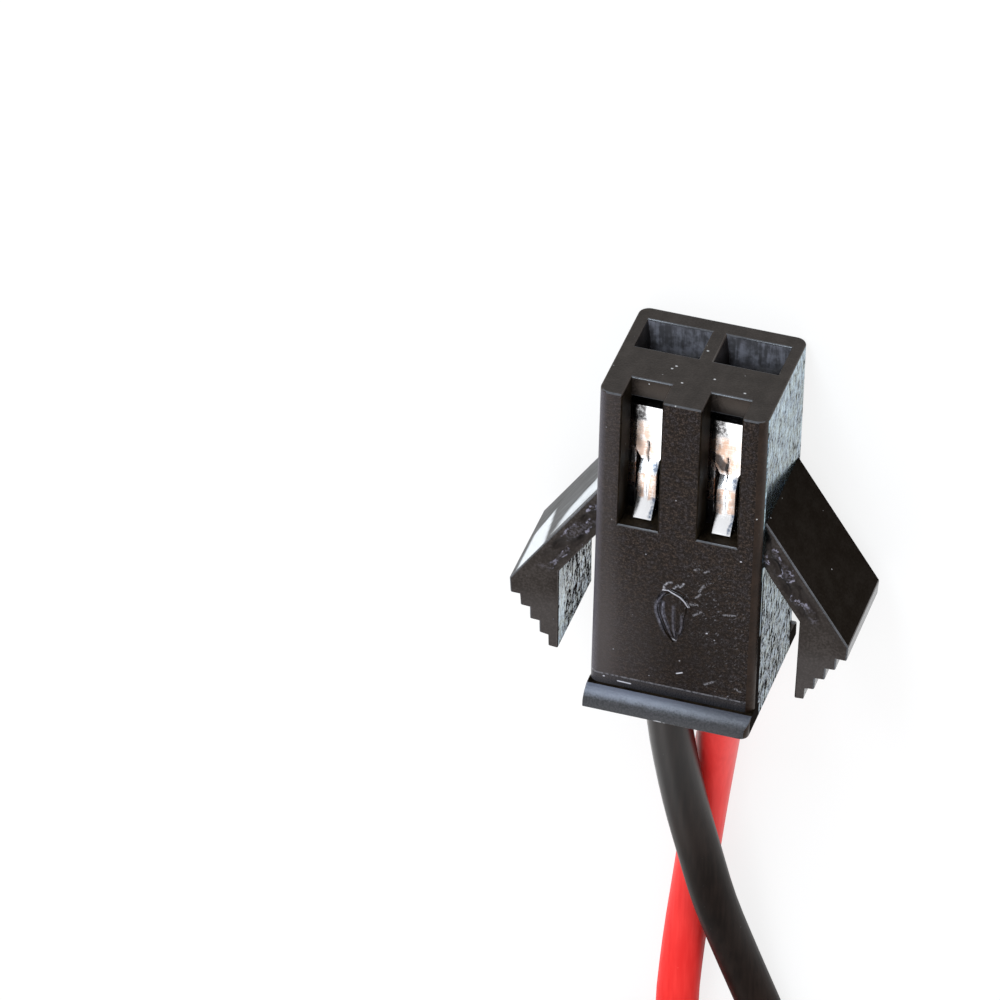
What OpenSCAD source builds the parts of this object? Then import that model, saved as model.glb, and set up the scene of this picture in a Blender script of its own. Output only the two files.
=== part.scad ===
// Two-way wire-to-wire socket plug with two sprung latch arms, crimped contacts and two leads.
// Millimetres. The plug lies on its back: it touches the floor with the back edge of its mouth
// and with the lip on its back face, so it leans by a few degrees.
// Housing frame before it is laid down: X across the two ways, Y from the lead end to the mouth
// with the mouth at 0, Z from the back face at 0 to the window face.

/* [Housing] */
// Width across the two ways
housing_w = 5.3; // [5:0.1:6.5]
// Thickness from the back face to the window face
housing_t = 4.6; // [4.2:0.1:5.6]
// Length from the mouth to the lead end
housing_l = 11.7; // [11:0.1:14]
// Radius of the four long edges
edge_r = 0.35; // [0.15:0.05:0.45]
// Distance between the two ways
pitch = 2.5; // [2.3:0.05:2.7]

/* [Ways] */
// Width of the cavity behind the mouth wall
cavity_w = 1.85; // [1.75:0.05:2]
// Thickness of the wall on the window side
front_wall = 1.0; // [0.8:0.05:1.2]
// Thickness of the wall on the back side
back_wall = 0.6; // [0.45:0.05:0.8]
// Thickness of the wall at the mouth
mouth_wall = 0.7; // [0.5:0.05:0.9]
// Width of a pin entry at the mouth
entry_w = 2.05; // [1.9:0.05:2.15]
// Height of a pin entry at the mouth
entry_h = 1.45; // [1.2:0.05:1.6]
// How much an entry slopes in on its window side
entry_lead_in = 0.1; // [0.02:0.02:0.2]
// Width of the window slots
window_w = 1.25; // [1:0.05:1.5]
// Length of the window slots from the mouth
window_l = 4.87; // [4.4:0.05:5.2]

/* [Lips] */
// How far a lip stands proud of its face
lip_proud = 0.62; // [0.4:0.02:0.8]
// Length of a lip along the housing
lip_l = 0.6; // [0.5:0.02:1]
// Radius of the lip shoulder
lip_r = 0.5; // [0.1:0.02:0.52]
// Radius of the corners at the right end of the lips
lip_end_r = 0.28; // [0.05:0.01:0.34]

/* [Gate mark] */
// Width of the leaf-shaped mark on the window face
gate_w = 1.1; // [0.8:0.05:1.4]
// Length of the mark
gate_l = 2.05; // [1.7:0.05:2.4]
// Depth of the mark
gate_depth = 0.05; // [0.03:0.01:0.12]
// Distance of the widest part of the mark from the end of the windows
gate_after_window = 2.6; // [2.2:0.05:3]

/* [Latch arms] */
// Distance from the mouth to the root of an arm
arm_from_mouth = 4.1; // [3.4:0.1:4.4]
// Length of the outer face of an arm
arm_l = 4.93; // [4.5:0.05:5.4]
// Thickness of an arm
arm_thick = 0.95; // [0.8:0.05:1.05]
// Angle between an arm and the housing
arm_angle = 34.2; // [31:0.2:38]
// Width of an arm across the housing thickness
arm_w = 3.6; // [3:0.1:4]
// Clear gap between the tail of an arm and the housing
tail_gap = 1.2; // [1.15:0.05:1.5]
// Length of the blunt end of an arm above its finger steps
tip_l = 0.54; // [0.4:0.02:0.8]
// Height of the finger steps together
grip_l = 1.83; // [1.4:0.05:2.2]
// Number of finger steps
grip_steps = 5; // [4:1:6]
// Free play round the bending root of an arm
root_play = 0.02; // [0.015:0.005:0.04]

/* [Contacts] */
// Width of a contact box
contact_w = 1.5; // [1.3:0.05:1.55]
// Thickness of the folded strip
strip_t = 0.2; // [0.16:0.02:0.24]
// Room between the top of a contact and the window wall
contact_play = 0.15; // [0.05:0.05:0.3]
// Distance from the mouth wall to the front of a contact
contact_setback = 0.4; // [0.2:0.05:0.5]
// Length of a contact box
box_l = 4.3; // [4.1:0.05:4.6]
// Width of the locking lance
lance_w = 0.6; // [0.4:0.05:0.7]
// Length of the locking lance
lance_l = 1.75; // [1.5:0.05:2]
// Depth of the lance tip below the window face
lance_depth = 0.43; // [0.25:0.02:0.6]
// Height of the first bend of the lance
lance_step = 0.3; // [0.2:0.02:0.36]
// Length of the crimp on the bare strands
strand_crimp_l = 1.4; // [1:0.1:1.6]
// Length of the crimp on the insulation
sleeve_crimp_l = 1.1; // [0.8:0.1:1.4]

/* [Leads] */
// Outside diameter of a lead
lead_d = 1.42; // [1.2:0.02:1.44]
// Diameter of the bundle of bare strands
bundle_d = 0.6; // [0.5:0.02:0.66]
// Length of the tinned end of a lead
tip_bare_l = 4; // [3:0.5:6]

/* [Folded leads] */
// Length of the straight runs of the folded leads
run_l = 22; // [20:0.5:25]
// Radius of the folds at the middle of the bundle
fold_r = 4.95; // [4.6:0.05:5.8]
// Width of the folded bundle
hank_w = 3; // [2.8:0.1:3.6]
// Height of the folded bundle
hank_h = 2.9; // [2.8:0.1:3.6]
// Width of the tie
tie_w = 2.2; // [1.6:0.1:3]
// Thickness of the tie strap
tie_t = 0.3; // [0.2:0.05:0.5]

/* [Hidden] */
$fn = 64;

// How far cutting shapes reach past the faces that they open
past = 1;
half_w = housing_w / 2;
way_x = pitch / 2;

// The lean of the housing on its back lip, and the shift that centres it front to back
rest_tilt = atan2(lip_proud, housing_l);
rest_shift = (sqrt(housing_l * housing_l + lip_proud * lip_proud) - housing_t * sin(rest_tilt)) / 2;

// The inside of a way
cavity_back = back_wall;
cavity_front = housing_t - front_wall;
cut_overlap = 0.05;

// The gate mark is round towards the mouth and pointed towards the leads, and a smaller leaf is
// left standing inside it
gate_y = -window_l - gate_after_window;
gate_rim = 0.16;

// The outline of a latch arm on the +X side, seen from the window face
along = [sin(arm_angle), -cos(arm_angle)];
inward = [-cos(arm_angle), -sin(arm_angle)];
root_bite = 0.2;
half_arm = arm_thick / 2;
knuckle_step = 0.02;
knuckle_r = half_arm - knuckle_step;
knuckle_out = 0.03;
root_outer = [half_w, -arm_from_mouth];
root_inner = root_outer + arm_thick * inward;
root_mid = root_outer + half_arm * inward;
knuckle_x = half_w + half_arm + root_play + knuckle_out;
knuckle = on_line(root_mid, knuckle_x);
tip = root_outer + arm_l * along;
tip_draft = 0.04;
tip_low = tip + [-tip_draft, -tip_l];
tail_top = on_line(root_inner, half_w + tail_gap);
tail_draft = 0.05;
tail_low = [half_w + tail_gap - tail_draft, tip_low[1] - grip_l];
tread = (tip_low[0] - tail_low[0]) / grip_steps;
riser = grip_l / (grip_steps - 1);
step_draft = 0.02;
arm_back = (housing_t - arm_w) / 2;

// A contact sits on the back wall of its cavity
contact_top = cavity_front - contact_play;
contact_h = contact_top - cavity_back;
box_front = mouth_wall + contact_setback;
box_end = box_front + box_l;
box_r = 0.3;
lance_gap = 0.04;
lance_end = window_l - lance_gap;
lance_root = lance_end - lance_l;
lance_bend_l = 0.35;
lance_tip_l = 0.5;
lance_level = contact_top + lance_step;
lance_top = housing_t - lance_depth;
plate_neck = 0.12;
plate_l = 1.6;
plate_end = box_front + plate_l;
neck_half = 0.5;
spring_side = 0.1;
spring_w = contact_w - 2 * (strip_t + spring_side);
spring_t = 0.14;
pin_room = 0.55;
spring_low = cavity_back + strip_t + pin_room;
spring_rise = 0.3;
floor_w = 0.8;
neck_l = 0.7;
crimp_gap = 0.75;
strand_crimp_start = box_end + neck_l;
strand_crimp_end = strand_crimp_start + strand_crimp_l;
sleeve_start = strand_crimp_end + crimp_gap;
sleeve_free = 0.2;
sleeve_crimp_start = sleeve_start + sleeve_free;
sleeve_crimp_end = sleeve_crimp_start + sleeve_crimp_l;
crimp_fit = 0.01;
seam_w = 0.12;

// A lead lies on the floor strip of its contact
lead_r = lead_d / 2;
lead_z = cavity_back + strip_t + crimp_fit + lead_r;
strand_press = 0.01;
strand_r = bundle_d / 6 + strand_press;
strand_ring = bundle_d / 2 - strand_r;

// The folded leads lie in a hank, in two layers, on the tie that holds them
hank_x = -1;
hank_y = -31;
hank_far_y = hank_y - run_l;
hank_outer = fold_r + hank_w / 2;
hank_inner = fold_r - hank_w / 2;
slot_x = 0.73;
low_z = lead_r + tie_t;
top_z = low_z + lead_d;
black_hank_x = hank_x + fold_r + slot_x;
red_hank_x = hank_x + fold_r - slot_x;
tail_l = 12;
tail_end_y = hank_far_y - tail_l;
tail_mid_z = (top_z + lead_r) / 2;
lead_inside = 0.6;
tie_head_w = 3;
tie_head_l = 2.6;
tie_head_h = 1.4;
tie_r = 0.5;

// Points that a lead runs through, from inside its crimp to the hank, and its free end
black_run = [
    laid([-way_x, -sleeve_start, lead_z]),
    laid([-way_x, lead_inside - housing_l, lead_z]),
    [-1.02, -7.2, 2.2],
    [-0.75, -9.5, 2.2],
    [-0.3, -12, 2.15],
    [0.2, -14, 2.15],
    [0.7, -16.5, 1.8],
    [1.35, -19.5, 1.05],
    [2.3, -22.5, 0.72],
    [3.2, -25.4, 0.75],
    [4.1, -28.2, 0.9],
    [black_hank_x, hank_y, low_z]
];
red_run = [
    laid([way_x, -sleeve_start, lead_z]),
    laid([way_x, lead_inside - housing_l, lead_z]),
    [0.85, -7.4, 1.9],
    [0.56, -9.4, 1.3],
    [0.25, -11.4, 0.8],
    [0, -13.5, 0.71],
    [-0.3, -16.5, 0.71],
    [-0.6, -19.5, 0.71],
    [-0.78, -22.5, 0.71],
    [-0.55, -24.1, 0.71],
    [0.15, -25.6, 0.71],
    [1.2, -26.75, 0.75],
    [2.3, -27.9, 0.85],
    [3, -29.4, 0.95],
    [red_hank_x, hank_y, low_z]
];
black_tail = free_end(black_hank_x);
red_tail = free_end(red_hank_x);
tube_sides = 8;

// The point of a line in arm direction that has a given X
function on_line(from, x) = from + along * ((x - from[0]) / along[0]);

// A point of the housing frame after the housing is laid down
function laid(p) = [
    p[0],
    p[1] * cos(rest_tilt) + p[2] * sin(rest_tilt) + rest_shift,
    p[2] * cos(rest_tilt) - p[1] * sin(rest_tilt)
];

// The free end of a lead: off the top of the hank, down to the floor and along it
function free_end(x) = [
    [x, hank_far_y - tail_l * 0.07, top_z],
    [x, hank_far_y - tail_l * 0.23, top_z],
    [x, hank_far_y - tail_l * 0.4, top_z],
    [x, hank_far_y - tail_l * 0.6, tail_mid_z],
    [x, hank_far_y - tail_l * 0.8, lead_r],
    [x, tail_end_y, lead_r]
];

function unit(v) = v / norm(v);

// Direction of a route at one of its points
function heading(route, i) =
    unit(route[min(i + 1, len(route) - 1)] - route[max(i - 1, 0)]);

// One ring of corners round a route point, the first corner level with the floor
function ring(centre, dir, r) = let (
        side = unit(cross(dir, [0, 0, 1])),
        rise = cross(side, dir)
    ) [
        for (k = [0 : tube_sides - 1])
        centre + r * (cos(360 * k / tube_sides) * side + sin(360 * k / tube_sides) * rise)
    ];

// A tube along a route, closed at both ends
module tube(route, r) {
    count = len(route);
    corners = [for (i = [0 : count - 1]) each ring(route[i], heading(route, i), r)];
    sides = [
        for (i = [0 : count - 2], k = [0 : tube_sides - 1]) let (
            a = i * tube_sides + k,
            b = i * tube_sides + (k + 1) % tube_sides
        ) each [[a, b, b + tube_sides], [a, b + tube_sides, a + tube_sides]]
    ];
    near_cap = [for (k = [0 : tube_sides - 1]) tube_sides - 1 - k];
    far_cap = [for (k = [0 : tube_sides - 1]) (count - 1) * tube_sides + k];
    polyhedron(points = corners, faces = concat([near_cap], sides, [far_cap]));
}

// Lays the housing frame down on the floor
module laid_down() {
    translate([0, rest_shift, 0])
        rotate([-rest_tilt, 0, 0])
            children();
}

// Extrudes an X-Z outline along the housing, between two distances from the mouth
module along_housing(from, to) {
    translate([0, -from, 0])
        rotate([90, 0, 0])
            linear_extrude(to - from)
                children();
}

// Extrudes a Y-Z outline across the housing, to both sides of X = 0
module across_housing(width) {
    translate([-width / 2, 0, 0])
        rotate([90, 0, 90])
            linear_extrude(width)
                children();
}

module box_outline(x0, x1, y0, y1) {
    translate([x0, y0])
        square([x1 - x0, y1 - y0]);
}

module round_outline(x0, x1, y0, y1, r) {
    box_outline(x0 + r, x1 - r, y0, y1);
    box_outline(x0, x1, y0 + r, y1 - r);
    for (x = [x0 + r, x1 - r], y = [y0 + r, y1 - r])
        translate([x, y])
            circle(r);
}

// Half a circle with two arcs below it that meet in a point, widest at Y = 0
module leaf(width, length) {
    point_l = length - width / 2;
    r = (4 * point_l * point_l + width * width) / (4 * width);
    intersection() {
        translate([r - width / 2, 0])
            circle(r);
        translate([width / 2 - r, 0])
            circle(r);
        box_outline(-width, width, -length, 0);
    }
    intersection() {
        circle(width / 2);
        box_outline(-width, width, -cut_overlap, length);
    }
}

// Y-Z outline of the lip on the window face
module lip_outline() {
    top = housing_t + lip_proud;
    mouth_side = lip_l - housing_l;
    box_outline(-housing_l, mouth_side - lip_r, housing_t - front_wall / 2, top);
    box_outline(-housing_l, mouth_side, housing_t - front_wall / 2, top - lip_r);
    translate([mouth_side - lip_r, top - lip_r])
        circle(lip_r);
}

// Both lips, square at their left end and trimmed round at their right end
module lips() {
    intersection() {
        union() {
            across_housing(housing_w)
                lip_outline();
            translate([0, 0, housing_t])
                mirror([0, 0, 1])
                    across_housing(housing_w)
                        lip_outline();
        }
        along_housing(housing_l - lip_l - past, housing_l) {
            round_outline(-half_w, half_w, -lip_proud, housing_t + lip_proud, lip_end_r);
            box_outline(-half_w, 0, -lip_proud, housing_t + lip_proud);
        }
    }
}

// X-Y outline of the root that carries the +X arm
module root_outline() {
    difference() {
        polygon([
            on_line(root_outer, half_w - root_bite),
            knuckle - half_arm * inward,
            knuckle + half_arm * inward,
            on_line(root_inner, half_w - root_bite)
        ]);
        translate(knuckle)
            circle(half_arm + root_play);
    }
}

// X-Y outline of the +X arm from its bending root to its finger steps
module arm_outline() {
    steps = [
        for (i = [0 : grip_steps - 2]) let (
            x = tip_low[0] - (i + 1) * tread,
            y = tip_low[1] - i * riser
        ) each [[x, y], [x - step_draft, y - riser + step_draft]]
    ];
    polygon(concat(
        [knuckle - half_arm * inward, tip, tip_low],
        steps,
        [tail_low, tail_top, knuckle + half_arm * inward]
    ));
}

module arm_solid() {
    translate([0, 0, arm_back]) {
        linear_extrude(arm_w)
            arm_outline();
        translate(knuckle)
            cylinder(r = knuckle_r, h = arm_w);
    }
}

// Everything that is cut out for one way, centred on X = 0
module way_cut() {
    half_cavity = cavity_w / 2;
    half_entry = entry_w / 2;
    half_window = window_w / 2;
    entry_top = cavity_back + entry_h;
    along_housing(mouth_wall, housing_l + past)
        box_outline(-half_cavity, half_cavity, cavity_back, cavity_front);
    intersection() {
        translate([0, 0, cavity_back])
            linear_extrude(entry_h)
                polygon([
                    [-half_entry, 0],
                    [half_entry, 0],
                    [half_cavity, -mouth_wall],
                    [half_cavity, -mouth_wall - cut_overlap],
                    [-half_cavity, -mouth_wall - cut_overlap],
                    [-half_cavity, -mouth_wall]
                ]);
        across_housing(housing_w)
            polygon([
                [0, cavity_back],
                [0, entry_top],
                [-mouth_wall, entry_top - entry_lead_in],
                [-mouth_wall - cut_overlap, entry_top - entry_lead_in],
                [-mouth_wall - cut_overlap, cavity_back]
            ]);
    }
    along_housing(-past, mouth_wall + cut_overlap)
        box_outline(-half_window, half_window, cavity_front, housing_t + past);
    along_housing(mouth_wall, window_l)
        box_outline(-half_window, half_window, cavity_front - cut_overlap, housing_t + past);
}

module gate_mark() {
    translate([0, gate_y, housing_t - gate_depth])
        linear_extrude(past)
            difference() {
                leaf(gate_w, gate_l);
                leaf(gate_w - 2 * gate_rim, gate_l - 3 * gate_rim);
            }
}

module socket_housing() {
    color([0.1, 0.09, 0.085])
        laid_down()
            difference() {
                union() {
                    along_housing(0, housing_l)
                        round_outline(-half_w, half_w, 0, housing_t, edge_r);
                    lips();
                    for (side = [0, 1])
                        mirror([side, 0, 0])
                            translate([0, 0, arm_back])
                                linear_extrude(arm_w)
                                    root_outline();
                }
                for (x = [-way_x, way_x])
                    translate([x, 0, 0])
                        way_cut();
                gate_mark();
            }
}

module latch_arm_right() {
    color([0.11, 0.1, 0.09])
        laid_down()
            arm_solid();
}

module latch_arm_left() {
    color([0.11, 0.1, 0.09])
        laid_down()
            mirror([1, 0, 0])
                arm_solid();
}

// Folded box of a contact, with its top cut away beside the neck that the lance grows from
module contact_box() {
    half = contact_w / 2;
    difference() {
        along_housing(box_front, box_end)
            difference() {
                round_outline(-half, half, cavity_back, contact_top, box_r);
                round_outline(strip_t - half, half - strip_t, cavity_back + strip_t,
                    contact_top - strip_t, box_r - strip_t);
            }
        translate([0, 0, contact_top - strip_t - crimp_fit])
            linear_extrude(past)
                difference() {
                    box_outline(-half - past, half + past, -box_end - past, -plate_end);
                    plate_taper();
                }
    }
}

// Part of the top plate that narrows from the box to the lance
module plate_taper() {
    polygon([
        [-neck_half, -plate_end + plate_neck],
        [neck_half, -plate_end + plate_neck],
        [neck_half, -plate_end],
        [lance_w / 2, -lance_root],
        [-lance_w / 2, -lance_root],
        [-neck_half, -plate_end]
    ]);
}

// Tongue that steps up out of the contact box and catches the end of the window
module lance() {
    across_housing(lance_w)
        polygon([
            [-lance_root + plate_neck, contact_top],
            [-lance_root, contact_top],
            [-lance_root - lance_bend_l, lance_level],
            [-lance_end + lance_tip_l, lance_level],
            [-lance_end, lance_top],
            [-lance_end, lance_top - strip_t],
            [-lance_end + lance_tip_l, lance_level - strip_t],
            [-lance_root - lance_bend_l, lance_level - strip_t],
            [-lance_root, contact_top - strip_t],
            [-lance_root + plate_neck, contact_top - strip_t]
        ]);
}

// Spring inside the contact box that presses the pin against its floor
module pin_spring() {
    fold = box_front + spring_t;
    press = box_front + box_l * 0.5;
    free = box_front + box_l * 0.75;
    across_housing(spring_w)
        polygon([
            [-box_front, contact_top - strip_t / 2],
            [-fold, contact_top - strip_t / 2],
            [-press, spring_low + spring_t],
            [-free, spring_low + spring_rise + spring_t],
            [-free, spring_low + spring_rise],
            [-press, spring_low],
            [-box_front, contact_top - strip_t - 2 * spring_t]
        ]);
}

// Wrapped barrel of a crimp with its foot on the floor strip and a seam on top
module crimp(from, to, inner_r) {
    outer_r = inner_r + strip_t;
    along_housing(from, to)
        difference() {
            union() {
                translate([0, lead_z])
                    circle(outer_r);
                box_outline(-floor_w / 2, floor_w / 2, cavity_back, lead_z);
            }
            translate([0, lead_z])
                circle(inner_r);
            box_outline(-seam_w / 2, seam_w / 2, lead_z, lead_z + outer_r + past);
        }
}

module contact_solid() {
    contact_box();
    lance();
    pin_spring();
    along_housing(box_end - strip_t, sleeve_crimp_end)
        box_outline(-floor_w / 2, floor_w / 2, cavity_back, cavity_back + strip_t);
    crimp(strand_crimp_start, strand_crimp_end, bundle_d / 2 + crimp_fit);
    crimp(sleeve_crimp_start, sleeve_crimp_end, lead_r + crimp_fit);
}

module contact_left() {
    color([0.82, 0.81, 0.79])
        laid_down()
            translate([-way_x, 0, 0])
                contact_solid();
}

module contact_right() {
    color([0.82, 0.81, 0.79])
        laid_down()
            translate([way_x, 0, 0])
                contact_solid();
}

// Seven strands pressed together, from the crimp back to the end of the insulation
module strands() {
    along_housing(strand_crimp_start - strip_t, sleeve_start)
        translate([0, lead_z]) {
            circle(strand_r);
            for (turn = [0 : 60 : 300])
                rotate(turn)
                    translate([strand_ring, 0])
                        circle(strand_r);
        }
}

module black_conductor() {
    color([0.75, 0.5, 0.32])
        laid_down()
            translate([-way_x, 0, 0])
                strands();
}

module red_conductor() {
    color([0.75, 0.5, 0.32])
        laid_down()
            translate([way_x, 0, 0])
                strands();
}

module black_lead() {
    color([0.06, 0.05, 0.05]) {
        tube(black_run, lead_r);
        tube(black_tail, lead_r);
    }
}

module red_lead() {
    color([0.75, 0.05, 0.05]) {
        tube(red_run, lead_r);
        tube(red_tail, lead_r);
    }
}

// Outline with round ends that a fold of a given radius leaves, from the near end of the runs
module hank_outline(r) {
    box_outline(-r, r, -run_l, 0);
    for (y = [-run_l, 0])
        translate([0, y])
            circle(r);
}

module lead_hank() {
    color([0.3, 0.05, 0.05])
        translate([hank_x, hank_y, tie_t])
            linear_extrude(hank_h)
                difference() {
                    hank_outline(hank_outer);
                    hank_outline(hank_inner);
                }
}

// Strap round the middle of the hank with its locking head on top
module hank_tie() {
    half = hank_outer + tie_t;
    strap_top = hank_h + 2 * tie_t;
    color([0.1, 0.1, 0.1])
        translate([hank_x, hank_y - run_l / 2, 0]) {
            along_housing(-tie_w / 2, tie_w / 2)
                difference() {
                    round_outline(-half, half, 0, strap_top, tie_r);
                    box_outline(-hank_outer, hank_outer, tie_t, tie_t + hank_h);
                }
            along_housing(-tie_head_l / 2, tie_head_l / 2)
                box_outline(-tie_head_w / 2, tie_head_w / 2, strap_top - tie_t / 2,
                    strap_top + tie_head_h);
        }
}

module bare_tip(x) {
    translate([x, tail_end_y, lead_r])
        rotate([90, 0, 0]) {
            cylinder(r = bundle_d / 2, h = tip_bare_l);
            translate([0, 0, tip_bare_l])
                sphere(bundle_d / 2);
        }
}

module black_tip() {
    color([0.8, 0.8, 0.78])
        bare_tip(black_hank_x);
}

module red_tip() {
    color([0.8, 0.8, 0.78])
        bare_tip(red_hank_x);
}

socket_housing();
latch_arm_left();
latch_arm_right();
contact_left();
contact_right();
black_conductor();
red_conductor();
black_lead();
red_lead();
lead_hank();
hank_tie();
black_tip();
red_tip();
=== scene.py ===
# %% [markdown]
# # A two-way socket plug on two leads
# The object is a small black plug that joins two thin wires to another plug of its kind. Its solid
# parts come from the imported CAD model, in metres and in one frame. This notebook dresses them: it
# sets up the camera and the light, lays the two leads, rounds the moulded edges, lets the latch
# arms grow out of the housing, and gives each surface its finish.

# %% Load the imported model
import math
import bpy
from mathutils import Matrix, Vector, noise


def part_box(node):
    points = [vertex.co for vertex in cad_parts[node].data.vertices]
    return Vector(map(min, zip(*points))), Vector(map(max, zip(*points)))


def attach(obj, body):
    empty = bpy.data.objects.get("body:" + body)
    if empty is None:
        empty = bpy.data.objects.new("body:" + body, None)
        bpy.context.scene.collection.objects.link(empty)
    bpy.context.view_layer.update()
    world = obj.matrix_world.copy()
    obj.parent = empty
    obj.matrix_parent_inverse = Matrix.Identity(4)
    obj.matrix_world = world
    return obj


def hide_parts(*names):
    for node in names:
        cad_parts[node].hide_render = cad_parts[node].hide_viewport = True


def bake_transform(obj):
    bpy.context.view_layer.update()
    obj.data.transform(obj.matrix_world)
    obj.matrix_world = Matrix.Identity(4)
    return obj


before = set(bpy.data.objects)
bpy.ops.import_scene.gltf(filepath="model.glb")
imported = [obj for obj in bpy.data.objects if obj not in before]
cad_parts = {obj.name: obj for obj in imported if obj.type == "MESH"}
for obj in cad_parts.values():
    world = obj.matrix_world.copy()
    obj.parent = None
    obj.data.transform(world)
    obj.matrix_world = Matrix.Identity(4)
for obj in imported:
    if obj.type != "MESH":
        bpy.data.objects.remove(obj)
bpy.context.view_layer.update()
MM = 0.001
print("nodes:", sorted(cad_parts))

# %% [markdown]
# ## The camera
# A small product is photographed from some distance with a long lens, so its edges stay almost
# parallel. The camera could be aimed by eye, but a better way is to fit it: corners of the housing
# whose place is known were matched with the photograph, and the fit gave where the lens stands and
# how the picture is turned. A 288 mm lens on a 36 mm sensor is the same as 8000 pixels of focal
# length on a picture 1000 pixels wide.

# %% Camera
EYE = Vector((50.0085, 158.3516, 183.0865)) * MM
PICTURE_RIGHT = Vector((0.953554, 0.003983, -0.301194))
PICTURE_UP = Vector((-0.196924, 0.764885, -0.613329))
TOWARDS_EYE = Vector((0.227936, 0.644155, 0.730144))
LENS, SENSOR_W, NEAREST, FARTHEST = 288, 36, 0.01, 20
bpy.ops.object.select_all(action="DESELECT")
bpy.ops.object.camera_add()
camera = bpy.context.object
camera.name = "camera"
camera.matrix_world = Matrix.Translation(EYE) @ Matrix(
    (PICTURE_RIGHT, PICTURE_UP, TOWARDS_EYE)).transposed().to_4x4()
camera.data.sensor_width = SENSOR_W
camera.data.lens = LENS
camera.data.clip_start = NEAREST
camera.data.clip_end = FARTHEST
bpy.context.scene.camera = camera
bpy.context.scene.view_settings.view_transform = "Standard"
print("camera is", round(EYE.length / MM), "mm away")

# %% [markdown]
# ## Shader maths in Python
# Every finish below is built from shader nodes. Wiring each node by hand hides the idea, so a small
# class wraps a socket and answers to the usual operators: an expression such as `1 - mask` adds the
# Math node by itself, and a noise or a fade hangs on the socket that feeds it.

# %% Socket helper
class Wire:
    """An output socket that can be added, multiplied, faded and so on."""

    def __init__(self, finish, socket):
        self.finish = finish
        self.socket = socket

    def math(self, operation, *values, clamp=False):
        return self.finish.node(
            "ShaderNodeMath", {"operation": operation, "use_clamp": clamp}, *values)

    def __add__(self, other):
        return self.math("ADD", self, other)

    def __radd__(self, other):
        return self.math("ADD", other, self)

    def __sub__(self, other):
        return self.math("SUBTRACT", self, other)

    def __rsub__(self, other):
        return self.math("SUBTRACT", other, self)

    def __mul__(self, other):
        return self.math("MULTIPLY", self, other)

    def __rmul__(self, other):
        return self.math("MULTIPLY", other, self)

    def __truediv__(self, other):
        return self.math("DIVIDE", self, other)

    def __pow__(self, other):
        return self.math("POWER", self, other)

    def size(self):
        return self.math("ABSOLUTE", self)

    def clip(self):
        return self.math("ADD", self, 0.0, clamp=True)

    def fade(self, start, end):
        """Zero at start, one at end, and a soft step in between."""
        return self.finish.node("ShaderNodeMapRange", {"interpolation_type": "SMOOTHSTEP"},
                                self, start, end, 0.0, 1.0)

    def mix(self, low, high):
        """One colour where this mask is zero and another where it is one."""
        made = self.finish.tree.nodes.new("ShaderNodeMix")
        made.data_type = "RGBA"
        for place, value in ((0, self), (6, low), (7, high)):
            self.finish.plug(made.inputs[place], value)
        return Wire(self.finish, made.outputs[2])

    def noise(self, scale, detail=3.0, rough=0.55):
        return self.finish.node("ShaderNodeTexNoise", None, Vector=self, Scale=scale,
                                Detail=detail, Roughness=rough)

    def cells(self, scale):
        return self.finish.node("ShaderNodeTexVoronoi", {"feature": "F1"}, Vector=self, Scale=scale)

    def stretch(self, factors, turn=(0, 0, 0)):
        return self.finish.node("ShaderNodeMapping", {"vector_type": "POINT"}, Vector=self,
                                Rotation=turn, Scale=factors)

    def parts(self, names):
        """The numbers of a vector that are asked for, such as XY."""
        return [self.finish.node("ShaderNodeSeparateXYZ", None, self, out=name) for name in names]


print("sockets can be added, multiplied, faded and mixed")

# %% [markdown]
# A second class stands for one finish and adds any other node: its type, its settings, and the
# values or links of its sockets. A number that is the same all over goes on the shader's own socket.

# %% Finish helper
class Finish:
    """A material, or the world, whose shader keeps fixed numbers on its own sockets."""

    def __init__(self, name, store=bpy.data.materials, shader="Principled BSDF", **fixed):
        self.material = store.new(name)
        self.material.use_nodes = True
        self.tree = self.material.node_tree
        self.shader = self.tree.nodes[shader]
        for socket, value in fixed.items():
            self.feed(socket.replace("_", " "), value)

    def plug(self, target, value):
        if isinstance(value, Wire):
            self.tree.links.new(value.socket, target)
        elif target.type == "RGBA":
            target.default_value = (*value, 1)
        else:
            target.default_value = value

    def node(self, kind, settings=None, *values, out=0, **named):
        made = self.tree.nodes.new(kind)
        for key, value in (settings or {}).items():
            setattr(made, key, value)
        for place, value in enumerate(values):
            self.plug(made.inputs[place], value)
        for key, value in named.items():
            self.plug(made.inputs[key.replace("_", " ")], value)
        return Wire(self, made.outputs[out])

    def feed(self, socket, value):
        self.plug(self.shader.inputs[socket], value)

    def relief(self, height, depth_mm, strength=1.0):
        return self.node("ShaderNodeBump", None, Strength=strength, Distance=depth_mm * MM,
                         Height=height)

    def done(self):
        print(self.material.name, "has", len(self.tree.nodes), "nodes")
        return self.material


print("finishes can be built from nodes")

# %% [markdown]
# ## Coordinates on the plug
# The plug lies on its back and leans by three degrees, because its back lip props up the lead end.
# Its finishes follow the moulding and not the floor, so this step undoes the lean: a Mapping node
# turns Object coordinates into millimetres across the plug, along it from the mouth, and up from
# its back face. The same numbers place the faces that get each finish.

# %% Plug coordinates
PLUG_L, PLUG_T, PLUG_W, LIP = 11.7, 4.6, 5.3, 0.62
LEAN = math.atan2(LIP, PLUG_L)
SHIFT = (math.hypot(PLUG_L, LIP) - PLUG_T * math.sin(LEAN)) / 2


def laid(x, y, z):
    """A point of the upright plug, in mm, where it lies on the floor, in metres."""
    return Vector((x, y * math.cos(LEAN) + z * math.sin(LEAN) + SHIFT,
                   z * math.cos(LEAN) - y * math.sin(LEAN))) * MM


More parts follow.
